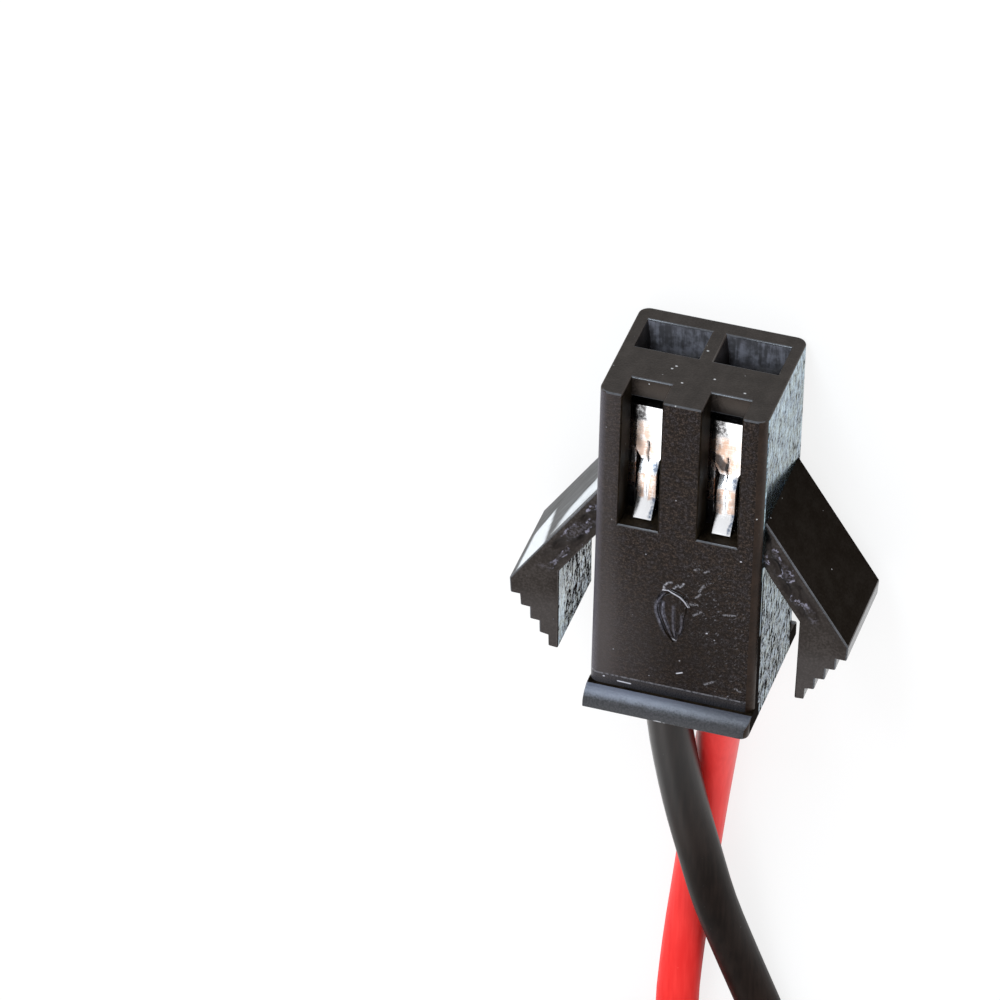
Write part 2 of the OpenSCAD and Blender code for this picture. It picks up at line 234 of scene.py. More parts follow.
def laid_way(x, y, z):
    """A direction of the upright plug as it lies on the floor."""
    return laid(x, y, z) / MM - Vector((0, SHIFT, 0))


def upright_way(way):
    """The opposite of laid_way."""
    x, y, z = way
    return Vector((x, y * math.cos(LEAN) - z * math.sin(LEAN),
                   y * math.sin(LEAN) + z * math.cos(LEAN)))


def upright(point):
    """The opposite of laid."""
    x, y, z = point
    return upright_way((x / MM, y / MM - SHIFT, z / MM))


def object_mm(finish):
    """Object coordinates in millimetres."""
    return finish.node("ShaderNodeTexCoord", None, out="Object").stretch((1 / MM, 1 / MM, 1 / MM))


def plug_mm(finish):
    """Object coordinates turned and moved so that they follow the upright plug."""
    return finish.node(
        "ShaderNodeMapping", {"vector_type": "POINT"},
        Vector=finish.node("ShaderNodeTexCoord", None, out="Object"),
        Location=(0, -SHIFT * math.cos(LEAN), -SHIFT * math.sin(LEAN)),
        Rotation=(LEAN, 0, 0), Scale=(1 / MM, 1 / MM, 1 / MM))


print("the plug leans by", round(math.degrees(LEAN), 2), "degrees")

# %% [markdown]
# ## Floor, world and lamps
# A black plug on white is mostly seen by what it mirrors, so the light comes from all sides, as in
# a tent of white cloth. The tent could be modelled, but a sky that is a little brighter to the left
# and behind the mouth does the same, and four soft boxes add the broad glints: one behind the
# mouth, one on each side and a weak one over the leads. The floor is a plain white sheet. A camera
# sees it a little brighter than the lamps make it, so that it comes out white, and so do
# reflections and things seen through glass, but the soft shadow of the plug stays on it.

# %% Floor
FLOOR_W, FLOOR_DROP = 4, 0.00001


def white_stage(name, share):
    """A white sheet that also glows a little in what is seen of it, and not in what it lights."""
    stage = Finish(name, Base_Color=(0.93, 0.93, 0.93), Roughness=0.9)
    rays = [stage.node("ShaderNodeLightPath", None, out="Is " + kind + " Ray")
            for kind in ("Camera", "Glossy", "Transmission")]
    seen = (rays[0] + rays[1] + rays[2]).clip() * share
    glow = stage.node("ShaderNodeEmission", None, Color=(1, 1, 1), Strength=1.0)
    both = stage.node("ShaderNodeMixShader", None, seen, Wire(stage, stage.shader.outputs[0]), glow)
    stage.plug(stage.tree.nodes["Material Output"].inputs[0], both)
    return stage.done()


bpy.ops.object.select_all(action="DESELECT")
bpy.ops.mesh.primitive_plane_add(size=FLOOR_W, location=(0, 0, -FLOOR_DROP))
floor = bpy.context.object
floor.name = "floor"
floor.data.materials.append(white_stage("white_sheet", 0.8))
print("floor is", round(floor.dimensions.x), "m wide")

# %% World and lamps
def tent(name, plain, left, back):
    """An even sky that brightens to the left and behind the mouth."""
    sky = Finish(name, bpy.data.worlds, "Background", Color=(0.97, 0.98, 1.0))
    x, y = sky.node("ShaderNodeTexCoord", None, out="Generated").parts("XY")
    sky.feed("Strength", plain + left * x.fade(0.0, -0.9) + back * y.fade(-0.5, 0.7))
    return sky.done()


bpy.context.scene.world = tent("tent", 0.76, 0.1, 0.1)
AIM = Vector((0, 0, 2)) * MM


def softbox(name, place_mm, width_mm, height_mm, watts, tint=(1, 1, 1)):
    """A rectangular lamp that is turned towards the plug."""
    bpy.ops.object.select_all(action="DESELECT")
    bpy.ops.object.light_add(type="AREA", location=Vector(place_mm) * MM)
    lamp = bpy.context.object
    lamp.name = name
    lamp.data.shape = "RECTANGLE"
    lamp.data.size = width_mm * MM
    lamp.data.size_y = height_mm * MM
    lamp.data.energy = watts
    lamp.data.color = tint
    lamp.rotation_euler = (AIM - lamp.location).to_track_quat("-Z", "Y").to_euler()
    return lamp


lamps = [
    softbox("back_softbox", (-75, 300, 150), 95, 260, 1.05, (0.84, 0.92, 1.0)),
    softbox("left_softbox", (-290, -41, 52), 120, 100, 0.18),
    softbox("right_softbox", (265, 24, 176), 120, 120, 0.2),
    softbox("front_softbox", (-69, -130, 260), 160, 270, 0.14),
]
print("lamps:", [lamp.name for lamp in lamps])

# %% [markdown]
# ## The leads
# Each lead is a stranded wire in a soft sleeve, 1.4 mm thick and about 140 mm long. A straight
# cylinder would look dead, and a simulation is not needed for a wire this stiff. So each lead is
# one curve through the same points that the CAD model uses: straight out of the plug, down to the
# floor, and black over red in a long low hump. A Catmull-Rom curve passes through every point
# without a kink.

# %% Lead routes
LEAD_D, TIE_T, WAY_X = 1.42, 0.3, 1.25
SLEEVE_START, LEAD_Z, LEAD_INSIDE = 8.25, 1.52, 0.6
HANK_X, HANK_Y, FOLD_R, SLOT = -1.0, -31.0, 4.95, 0.73
BLACK_R, RED_R = FOLD_R + SLOT, FOLD_R - SLOT
LOW_Z = LEAD_D / 2 + TIE_T

black_run = [
    tuple(laid(-WAY_X, -SLEEVE_START, LEAD_Z) / MM),
    tuple(laid(-WAY_X, LEAD_INSIDE - PLUG_L, LEAD_Z) / MM),
    (-1.02, -7.2, 2.2), (-0.75, -9.5, 2.2), (-0.3, -12, 2.15), (0.2, -14, 2.15),
    (0.7, -16.5, 1.8), (1.35, -19.5, 1.05), (2.3, -22.5, 0.72), (3.2, -25.4, 0.75),
    (4.1, -28.2, 0.9), (HANK_X + BLACK_R, HANK_Y, LOW_Z)]
red_run = [
    tuple(laid(WAY_X, -SLEEVE_START, LEAD_Z) / MM),
    tuple(laid(WAY_X, LEAD_INSIDE - PLUG_L, LEAD_Z) / MM),
    (0.85, -7.4, 1.9), (0.56, -9.4, 1.3), (0.25, -11.4, 0.8), (0, -13.5, 0.71),
    (-0.3, -16.5, 0.71), (-0.6, -19.5, 0.71), (-0.78, -22.5, 0.71), (-0.55, -24.1, 0.71),
    (0.15, -25.6, 0.71), (1.2, -26.75, 0.75), (2.3, -27.9, 0.85), (3, -29.4, 0.95),
    (HANK_X + RED_R, HANK_Y, LOW_Z)]


def catmull(points, per_gap):
    """Points on one smooth curve through all the given ones, none lower than a lead can lie."""
    ends = [points[0]] + list(points) + [points[-1]]
    made = []
    for a, b, c, d in zip(ends, ends[1:], ends[2:], ends[3:]):
        a, b, c, d = Vector(a), Vector(b), Vector(c), Vector(d)
        for k in range(per_gap):
            t = k / per_gap
            made.append(0.5 * (2 * b + (c - a) * t + (2 * a - 5 * b + 4 * c - d) * t ** 2
                               + (3 * b - a - 3 * c + d) * t ** 3))
    made.append(Vector(points[-1]))
    for point in made:
        point.z = max(point.z, LEAD_D / 2)
    return made


print("route points:", len(black_run), "for black and", len(red_run), "for red")

# %% [markdown]
# The rest of each lead is put away in a flat hank in line with the plug: down, round, back, round
# and down again on top of the first run, and then a short free end. Red takes the inner way. A hank
# could be simulated too, but straight runs and half circles give the neat shape of a tied one.

# %% Hank
RUN_L, TAIL_L, CLIMB = 22.0, 12.0, 8.0
RUN_PARTS, FOLD_PARTS = 5, 18
TOP_Z = LOW_Z + LEAD_D
FAR_Y = HANK_Y - RUN_L


def straight(x, from_y, to_y):
    """Places along one side of the hank, without the first."""
    return [(x, from_y + (to_y - from_y) * k / RUN_PARTS) for k in range(1, RUN_PARTS + 1)]


def fold(radius, y, from_turn):
    """Places on a half circle that goes clockwise, without the first."""
    turns = [math.radians(from_turn - 180 * k / FOLD_PARTS) for k in range(1, FOLD_PARTS + 1)]
    return [(HANK_X + radius * math.cos(t), y + radius * math.sin(t)) for t in turns]


def hank(radius):
    """Down the right side, round, back up the left, round and down again on top."""
    right, left = HANK_X + radius, HANK_X - radius
    level = (straight(right, HANK_Y, FAR_Y) + fold(radius, FAR_Y, 0)
             + straight(left, FAR_Y, HANK_Y) + fold(radius, HANK_Y, 180)
             + straight(right, HANK_Y, FAR_Y))
    start = 2 * RUN_L + math.pi * radius - CLIMB
    length = CLIMB + math.pi * radius / 4
    made, gone, last = [], 0.0, Vector((right, HANK_Y))
    for x, y in level:
        gone += (Vector((x, y)) - last).length
        last = Vector((x, y))
        share = min(max((gone - start) / length, 0), 1)
        made.append(Vector((x, y, LOW_Z + LEAD_D * share * share * (3 - 2 * share))))
    return made


def free_end(x):
    """Places from the top of the hank down to the floor beyond it."""
    heights = ((0.07, TOP_Z), (0.23, TOP_Z), (0.4, TOP_Z), (0.6, (TOP_Z + LEAD_D / 2) / 2),
               (0.8, LEAD_D / 2), (1, LEAD_D / 2))
    return [(x, FAR_Y - TAIL_L * share, z) for share, z in heights]


def lead_path(run, radius):
    """The whole route of a lead in mm: to the hank, round it and off it."""
    return catmull(run, 3) + hank(radius) + catmull(free_end(HANK_X + radius), 2)


def path_length(path):
    """The length of a route in metres."""
    return sum((b - a).length for a, b in zip(path, path[1:])) * MM


black_path = lead_path(black_run, BLACK_R)
red_path = lead_path(red_run, RED_R)
for name, path in (("black", black_path), ("red", red_path)):
    print(name, "lead:", round(path_length(path) / MM, 1), "mm")

# %% [markdown]
# A curve object with a round bevel is the plainest way to give such a route its thickness, and its
# own line is the centreline that the cord is measured by. A bevel of six steps makes sixteen sides,
# enough for a wire that is 45 pixels wide in the picture. The same helper makes thinner lines later.

# %% Lead curves
def round_lines(name, paths, radius, steps, ends=1.0):
    """One curve object of round lines along paths in metres; their ends may be thinner."""
    made = bpy.data.curves.new(name, "CURVE")
    made.dimensions = "3D"
    made.bevel_depth = radius
    made.bevel_resolution = steps
    made.use_fill_caps = True
    for path in paths:
        spline = made.splines.new("POLY")
        spline.points.add(len(path) - 1)
        spline.use_smooth = True
        for k, (point, place) in enumerate(zip(spline.points, path)):
            point.co = (*place, 1)
            bulge = max(math.sin(math.pi * k / (len(path) - 1)), 0) ** 0.5
            point.radius = ends + (1 - ends) * bulge
    piece = bpy.data.objects.new(name, made)
    bpy.context.scene.collection.objects.link(piece)
    return piece


def lead_curve(name, path):
    return round_lines(name, [[place * MM for place in path]], LEAD_D / 2 * MM, 6)


black_lead = lead_curve("black_wire", black_path)
red_lead = lead_curve("red_wire", red_path)
print("curves:", black_lead.name, red_lead.name)

# %% [markdown]
# The sleeves are soft plastic. Close up they are not quite even: the colour is a little lighter
# where the sleeve is thin, faint lines run along it from the die it was drawn through, and tiny
# specks of dust stick to it. Noise stretched along the lead gives the lines. The gloss is a clear
# coat, so that it can fade along the lead where the sleeve is duller.

# %% Sleeve finish
WARM = (1.0, 0.84, 0.74)
BROWN = (1.0, 0.76, 0.64)


def sleeve(name, deep, light, rough, shine, dull_from, dull_to):
    """Soft sleeve; its gloss is a coat that fades between two places along the lead, in mm."""
    finish = Finish(name, Specular_IOR_Level=shine * 0.1, Specular_Tint=WARM,
                    Coat_Roughness=rough, Coat_IOR=1.0 + shine)
    where = object_mm(finish)
    [y] = where.parts("Y")
    cloud = where.noise(0.5, 2.0)
    lines = where.stretch((5.0, 0.35, 5.0)).noise(1.4, 2.0)
    grain = where.noise(16.0, 2.0, 0.6)
    dust = where.cells(2.3).fade(0.05, 0.02)
    tone = cloud * 0.5 + lines * 0.5
    body = tone.fade(0.32, 0.68).mix(deep, light)
    pale = tuple(min(1, 0.25 + c) for c in light)
    finish.feed("Base Color", (dust * 0.25).mix(body, pale))
    finish.feed("Roughness", rough + (grain - 0.5) * 0.14 + (lines - 0.5) * 0.1)
    # Past the dull stretch the gloss comes back.
    dull = y.fade(dull_from, dull_to) * y.fade(dull_to - 16, dull_to - 8)
    finish.feed("Coat Weight", 1 - dull * 0.92)
    finish.feed("Normal", finish.relief(lines * 0.5 + grain * 0.3 + dust * 0.6, 0.01, strength=0.5))
    return finish.done()


black_lead.data.materials.append(
    sleeve("black_sleeve", (0.004, 0.002, 0.0014), (0.013, 0.0078, 0.006), 0.4, 0.46, -9, -16))
red_lead.data.materials.append(
    sleeve("red_sleeve", (0.7, 0.023, 0.021), (0.8, 0.04, 0.035), 0.42, 0.34, -10, -22))
for lead, slot in ((black_lead, "black_sleeve"), (red_lead, "red_sleeve")):
    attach(lead, "housing")
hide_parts("black_lead", "lead_hank")
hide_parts("red_lead")
print("leads dressed")

# %% [markdown]
# ## Copies of the CAD nodes
# A moulded piece starts as a copy of its CAD node, because the node itself has to stay as it is. The
# copy's loose triangles are merged, and flat ones are dissolved into whole faces, so that its faces
# and edges can be picked by their place and cut, as by hand.

# %% Copy and cut helpers
SAME_POINT, CLEAN_CUT, SAME_PLANE = 0.0002 * MM, 0.0001 * MM, math.radians(0.5)


def only(piece):
    """Selects one piece and nothing else."""
    bpy.ops.object.select_all(action="DESELECT")
    piece.select_set(True)
    bpy.context.view_layer.objects.active = piece


def edit(piece):
    """Opens one piece in edit mode with all of it selected."""
    only(piece)
    bpy.ops.object.mode_set(mode="EDIT")
    bpy.ops.mesh.select_all(action="SELECT")


def leave():
    """Goes back to object mode."""
    bpy.ops.object.mode_set(mode="OBJECT")


def merged_copy(node, name):
    """A copy of a CAD node with whole flat faces and no ties to the frame."""
    only(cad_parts[node])
    bpy.ops.object.duplicate()
    piece = bpy.context.object
    piece.name = name
    piece.data.name = name
    piece.parent = None
    for key in list(piece.keys()):
        del piece[key]
    piece.data.materials.clear()
    edit(piece)
    bpy.ops.mesh.customdata_custom_splitnormals_clear()
    bpy.ops.mesh.remove_doubles(threshold=SAME_POINT)
    bpy.ops.mesh.dissolve_limited(angle_limit=SAME_PLANE)
    leave()
    return piece


def pick(piece, kind, test):
    """Selects the faces or edges that pass a test, and stays in edit mode."""
    edit(piece)
    bpy.ops.mesh.select_mode(type=kind)
    bpy.ops.mesh.select_all(action="DESELECT")
    leave()
    group = piece.data.polygons if kind == "FACE" else piece.data.edges
    found = [item for item in group if test(item)]
    for item in found:
        item.select = True
    bpy.ops.object.mode_set(mode="EDIT")
    return len(found)


def open_edges():
    """Selects the rims of holes, in edit mode."""
    bpy.ops.mesh.select_mode(type="EDGE")
    bpy.ops.mesh.select_all(action="DESELECT")
    bpy.ops.mesh.select_non_manifold(extend=False, use_wire=False, use_multi_face=False,
                                     use_non_contiguous=False, use_verts=False)


def cut(piece, test, place, way):
    """Cuts the faces that pass a test where a plane crosses them."""
    pick(piece, "FACE", test)
    bpy.ops.mesh.bisect(plane_co=place, plane_no=way, threshold=CLEAN_CUT)
    leave()


print("points closer than", round(SAME_POINT / MM, 5), "mm are merged in every copy")

# %% [markdown]
# ## Rounding a moulded piece
# CAD solids have knife edges, but a mould never fills a corner fully, and it is the small round
# along an edge that catches the light. A Bevel modifier could round them all. Here only edges that
# stand out are bevelled, as in a mould, and normals weighted by face area keep the flats flat.

# %% Bevel helpers
SHARP_EDGE, SMOOTH_EDGE = math.radians(32), math.radians(38)


def outer_edges(piece, keep):
    """Selects the edges that stand out, where two faces turn away from each other."""
    mesh = piece.data
    beside = {}
    for face in mesh.polygons:
        for key in face.edge_keys:
            beside.setdefault(key, []).append((face.normal.copy(), face.center.copy()))
    wanted = set()
    for key, faces in beside.items():
        middle = (mesh.vertices[key[0]].co + mesh.vertices[key[1]].co) / 2
        if len(faces) == 2 and (keep is None or keep(middle)):
            (one_way, one_place), (other_way, other_place) = faces
            if (one_way.angle(other_way, 0) > SHARP_EDGE
                    and (other_place - one_place).dot(one_way) < 0):
                wanted.add(key)
    return pick(piece, "EDGE", lambda edge: edge.key in wanted)


def round_edges(piece, width_mm, keep=None):
    """Bevels the outer edges of a piece, or those of them whose middles are to be kept."""
    found = outer_edges(piece, keep)
    bpy.ops.mesh.bevel(offset=width_mm * MM, segments=2, profile=0.5, affect="EDGES",
                       clamp_overlap=False)
    leave()
    return found


def smooth(piece):
    """Smooth shading up to an angle, with normals that follow the large faces."""
    only(piece)
    bpy.ops.object.shade_smooth_by_angle(angle=SMOOTH_EDGE)
    bpy.ops.object.modifier_add(type="WEIGHTED_NORMAL")
    weighted = piece.modifiers[-1]
    weighted.keep_sharp = True
    weighted.weight = 90
    bpy.ops.object.modifier_apply(modifier=weighted.name)


print("edges sharper than", round(math.degrees(SHARP_EDGE)), "degrees are rounded")

# %% [markdown]
# ## The housing
# The housing is one moulding with two ways, a window slot over each contact and a lip across each
# face at the lead end. In the CAD model short roots stick out of its sides for the arms to turn on.
# On the real plug arm and housing are one, so the roots are taken off this copy, their holes are
# filled, and the arms below bring their own roots.

# %% Housing shape
HALF_W = PLUG_W / 2
ROOT_CLEAR = 0.02
housing = merged_copy("socket_housing", "housing_shell")
roots = pick(housing, "FACE", lambda face: abs(face.center.x) > (HALF_W + ROOT_CLEAR) * MM)
bpy.ops.mesh.delete(type="FACE")
open_edges()
bpy.ops.mesh.fill_holes(sides=0)
bpy.ops.mesh.select_all(action="SELECT")
bpy.ops.mesh.delete_loose()
leave()
print("root faces removed:", roots)

# %% [markdown]
# On the window face is the gate mark, the scar that is left where the moulding was torn off its
# sprue: a leaf with folds along it, a sharp rim across its top and a few burrs. The CAD model has
# the leaf. Its folds could be bump in a material, but then the mesh alone would not have them. So
# each is a thin round line, partly sunk in the face, thinner at its ends and joined to the housing.

# %% Gate mark
EDGE_R, GATE_EDGE_R = 0.045, 0.015
GATE_HALF_W, GATE_FROM, GATE_TO, GATE_DEPTH = 0.7, -9.4, -6.8, 0.1
WELT_R, BURR_R, WELT_SUNK, WELT_ENDS = 0.05, 0.035, 0.3, 0.35
GATE_RIDGES = (
    ((-0.36, -7.17), (-0.55, -7.58), (-0.56, -7.87), (-0.43, -8.27), (-0.22, -8.79)),
    ((-0.36, -7.5), (-0.36, -7.89), (-0.27, -8.16), (-0.08, -8.65), (0.07, -8.86)),
)
GATE_FOLDS = (
    ((-0.02, -7.6), (-0.01, -8.02), (0.01, -8.44), (0.08, -8.79)),
    ((0.26, -7.9), (0.26, -8.3), (0.2, -8.6)),
)
GATE_RIM = (
    ((-0.36, -7.03), (-0.2, -7.0), (-0.07, -7.06), (0.17, -7.17), (0.33, -7.32), (0.45, -7.52)),
)
GATE_BURRS = (
    ((-0.35, -7.03), (-0.33, -6.84), (-0.23, -6.71), (-0.11, -6.68)),
    ((-0.03, -6.89), (0.09, -6.74)), ((0.16, -6.79), (0.27, -6.64)),
    ((-0.02, -8.83), (0.08, -8.86)),
)


def at_gate(point):
    """Tells whether a point is on the gate mark."""
    place = upright(point)
    return (abs(place.x) < GATE_HALF_W and GATE_FROM < place.y < GATE_TO
            and place.z > PLUG_T - GATE_DEPTH)


def welts(lines, radius):
    """Joins raised lines on the window face to the housing."""
    routes = [catmull([(x, y, PLUG_T - radius * WELT_SUNK) for x, y in line], 5) for line in lines]
    paths = [[laid(*place) for place in route] for route in routes]
    only(round_lines("welts", paths, radius * MM, 3, WELT_ENDS))
    bpy.ops.object.convert(target="MESH")
    bpy.context.object.select_set(True)
    housing.select_set(True)
    bpy.context.view_layer.objects.active = housing
    bpy.ops.object.join()


plain = round_edges(housing, EDGE_R, lambda point: not at_gate(point))
small = round_edges(housing, GATE_EDGE_R, at_gate)
welts(GATE_RIDGES + GATE_FOLDS, WELT_R)
welts(GATE_RIM + GATE_BURRS, BURR_R)
smooth(housing)
print("rounded edges:", plain, "of the housing and", small, "of the gate mark")
print("housing faces:", len(housing.data.polygons))

# %% [markdown]
# ## The housing's finishes
# It is one brown-black plastic with many surfaces, since each part of a mould is cut and polished in
# its own way and each face is rubbed differently. A picture could be wrapped round it, but noise in
# the plug's own millimetres has no seams and keeps its scale. Marks that can be counted are strokes:
# lines on a face, in millimetres from its middle and from the mouth. A stroke is the distance to its
# line, faded at its rim.

# %% Strokes
DASHES = (
    ((0.67, -7.08), (0.81, -6.91)), ((0.78, -6.8), (0.91, -6.53)), ((0.92, -6.03), (1.04, -5.97)),
    ((0.6, -6.02), (0.74, -5.95)), ((0.5, -7.39), (0.73, -7.33)), ((0.63, -7.76), (0.86, -7.58)),
    ((2.05, -10.27), (2.22, -10.35)), ((1.08, -10.34), (1.34, -10.18)),
    ((1.58, -7.51), (1.7, -7.49)), ((1.76, -7.48), (1.94, -7.45)),
)
SCRATCHES = (
    ((-1.7, -10.91), (-1.29, -10.92)), ((-2.16, -10.83), (-2.14, -10.83)),
    ((0.17, -10.14), (0.34, -10.07)), ((2.03, -5.34), (2.05, -5.34)), ((1.06, -8.35), (1.08, -8.35)),
)


def strokes(across, along, lines, width):
    """A mask that is one on the given lines and fades to zero within their width."""
    nearest = None
    for line in lines:
        for (ax, ay), (bx, by) in zip(line, line[1:]):
            dx, dy = bx - ax, by - ay
            share = (((across - ax) * dx + (along - ay) * dy) / (dx * dx + dy * dy)).clip()
            off = ((across - ax - share * dx) ** 2 + (along - ay - share * dy) ** 2) ** 0.5
            nearest = off if nearest is None else off.math("MINIMUM", nearest, off)
    return nearest.fade(width, 0.0)


print("strokes:", sum(len(group) for group in (
    GATE_RIDGES, GATE_FOLDS, GATE_RIM, GATE_BURRS, DASHES, SCRATCHES)))

# %% [markdown]
# The window face and the back were spark-eroded to a fine grain. The face is flecked round the gate
# mark, lighter to the left as a painted highlight that is palest on the rounded left edge, and darker
# below the mark, and a faint line crosses it before the lip. Grain is noise between soft limits, the
# painted highlight is made of soft fades, and the counted marks are strokes laid over them.

# %% Window face
def window_face(name):
    """Fine grain with its flecks, its line before the lip and all the counted marks."""
    finish = Finish(name, Specular_IOR_Level=0.18, Specular_Tint=BROWN)
    where = plug_mm(finish)
    x, y = where.parts("XY")
    grain = where.noise(10.0, 4.0, 0.75)
    fine = where.noise(22.0, 2.0, 0.65)
    cloud = where.noise(0.8, 2.0)
    hue = where.noise(4.5, 2.0)
    turned = where.stretch((1, 1, 1), (0, 0, -0.85))
    drawn = turned.stretch((4.6, 8.5, 8.5)).noise(1.8, 2.0, 0.6)
    # Flecks lie where the face is scarred: right of the gate mark and along the right side.
    near_gate = (((x - 0.9) ** 2 + ((y + 7.0) * 0.6) ** 2) ** 0.5).fade(1.3, 0.3)
    right_side = x.fade(0.6, 1.6) * y.fade(-5.5, -7.5)
    scarred = (near_gate + right_side * 0.6 + cloud.fade(0.5, 0.75) * 0.2).clip()
    flecks = drawn.fade(0.6, 0.72) * scarred
    specks = where.cells(1.7).fade(0.05, 0.025)
    strip = y.fade(-10.7, -10.78)
    line = (y + 10.73).size().fade(0.045, 0.01) * grain.fade(0.35, 0.6)
    # Counted marks, broken up by the grain; on the gate mark's lines and burrs their paleness is a
    # painted highlight.
    broken = fine.fade(0.36, 0.56)
    patchy = 0.35 + 0.65 * grain.fade(0.4, 0.6)
    ridges = strokes(x, y, GATE_RIDGES, 0.1) * (y + 7.8).size().fade(1.1, 0.1) * patchy
    folds = strokes(x, y, GATE_FOLDS, 0.1) * patchy
    rim = strokes(x, y, GATE_RIM, 0.05)
    burr_glints = strokes(x, y, GATE_BURRS, 0.06) * broken
    dashes = strokes(x, y, DASHES, 0.06) * broken
    scratches = strokes(x, y, SCRATCHES, 0.036)
    # Colours, from the dark hollows of the grain to the palest marks.
    # Painted highlight towards the left: palest on the rounded left edge, lighter over the left of the
    # face.
    rounded = x.fade(-2.3, -2.62)
    painted_left_sheen = x.fade(0.2, -2.2) * y.fade(-5.0, -9.5) + x.fade(-1.5, -2.3)
    worn = (((x - 0.5) ** 2 + ((y + 8.6) * 0.8) ** 2) ** 0.5).fade(2.6, 1.0)
    mottle = (grain * 0.6 + fine * 0.4).fade(0.45, 0.63) * (1 - strip) * (1 - worn * 0.45)
    light = hue.fade(0.42, 0.58).mix((0.046, 0.033, 0.027), (0.038, 0.033, 0.036))
    body = mottle.mix((0.0005, 0.0003, 0.0002), light)
    body = (painted_left_sheen * 0.4).clip().mix(body, (0.062, 0.055, 0.055))
    body = (rounded * 0.6).mix(body, (0.085, 0.08, 0.1))
    body = (strip * 0.55).mix(body, (0.028, 0.029, 0.034))
    # Painted highlight along the gate mark's ridges and folds.
    body = (ridges + folds * 0.3).clip().mix(body, (0.21, 0.21, 0.26))
    marks_and_glints = burr_glints * 0.65 + rim * 0.8 + dashes * 0.3 + scratches * 1.1
    pale = (flecks * 0.15 + specks * 0.5 + line * 0.3 + marks_and_glints).clip()
    finish.feed("Base Color", pale.mix(body, (0.5, 0.5, 0.55)))
    finish.feed("Roughness", 0.38 + (fine - 0.5) * 0.3 - strip * 0.1)
    finish.feed("Normal", finish.relief(
        (grain * 0.6 + fine * 0.4) * (1 - strip * 0.85) + ridges * 2, 0.035))
    return finish.done()


housing_finishes = {"grain": window_face("housing_grain")}

# %% [markdown]
# The sides were eroded more coarsely. Seen at a low angle their raised spots are polished streaks
# that mirror the white floor, between dark hollows. A bump alone would be lost at this scale, so the
# streaks are a mask of noise drawn out along the plug and inwards, and the mask makes them mirrors.

# %% Sides
def eroded_side(name, raised_share, raised_front):
    """Dark plastic with polished streaks that mirror the floor; bare beside the lips and long edge."""
    finish = Finish(name, Specular_IOR_Level=0.0)
    where = plug_mm(finish)
    y, z = where.parts("YZ")
    down = where.stretch((1.0, 0.28, 1.0)).noise(8.0, 3.0, 0.7)
    inward = where.stretch((1.0, 1.0, 0.4)).noise(7.0, 3.0, 0.7)
    glints = where.noise(16.0, 2.0, 0.6)
    tint = where.noise(3.6, 2.0)
    front_lip = y.fade(-11.05, -11.15) * z.fade(3.8, 3.95)
    back_lip = y.fade(-10.5, -10.6) * z.fade(0.5, 0.4)
    below_arm = z.fade(4.0, 4.06) * y.fade(-5.9, -6.2)
    bare = (front_lip + back_lip + below_arm).clip()
    height = down * 0.5 + inward * 0.22 + glints * 0.28
    share = y * 0.006 + raised_share + z.fade(2.9, 3.9) * raised_front
    burr = (z - 4.2).size().fade(0.05, 0.02) * (y + 7.0).size().fade(1.4, 1.2)
    raised = ((height + share).fade(0.44, 0.6) * (1 - bare) + burr).clip()
    peaks = (height + share).fade(0.53, 0.66) * (1 - bare)
    cool = tint.fade(0.4, 0.6).mix((0.1, 0.19, 0.18), (0.05, 0.17, 0.3))
    body = raised.mix((0.012, 0.01, 0.009), cool)
    finish.feed("Base Color", peaks.mix(body, (0.43, 0.6, 0.7)))
    finish.feed("Metallic", raised.fade(0.0, 0.4))
    finish.feed("Roughness", 0.09 + glints * 0.08)
    finish.feed("Normal", finish.relief(height * (1 - bare), 0.0015))
    return finish.done()


housing_finishes["sides"] = eroded_side("housing_sparkle", 0.061, 0.0)

# %% [markdown]
# The mouth, the inside, the rims of the windows and the rounded long edges are smooth and differ
# only in colour and gloss. One recipe with different numbers serves them all. Dust is a few cells of
# a Voronoi texture, and the mouth also has specks at places of their own.

# %% Smooth plastic
COOL = (0.9, 0.95, 1.0)
MOUTH_SPECKS = (
    (-0.37, 3.41), (0.51, 2.92), (1.57, 3.31), (-0.86, 2.81), (-0.77, 2.65), (2.25, 1.97),
    (-2.24, 1.58), (-0.09, 1.59), (-0.22, 1.34),
)


def smooth_mould(name, deep, light, rough, shine=0.45, tint=WARM, specks=()):
    """Smooth plastic, with dust and, across and up the mouth, specks at given places."""
    finish = Finish(name, Specular_IOR_Level=shine, Specular_Tint=tint)
    where = plug_mm(finish)
    x, z = where.parts("XZ")
    cloud = where.noise(1.8, 3.0)
    grain = where.noise(14.0, 3.0, 0.6)
    dust = where.cells(1.6).fade(0.05, 0.025)
    if specks:
        dots = [((sx, sz), (sx + 0.02, sz)) for sx, sz in specks]
        dust = (strokes(x, z, dots, 0.045) + dust * 0.3).clip()
    tone = (cloud * 0.5 + grain * 0.5).fade(0.36, 0.66)
    body = tone.mix(deep, light)
    finish.feed("Base Color", (dust * 0.8).mix(body, (0.5, 0.5, 0.5)))
    finish.feed("Roughness", rough + (grain - 0.5) * 0.2)
    finish.feed("Normal", finish.relief(grain * 0.6 + cloud * 0.5 + dust * 0.6, 0.014, strength=0.7))
    return finish.done()


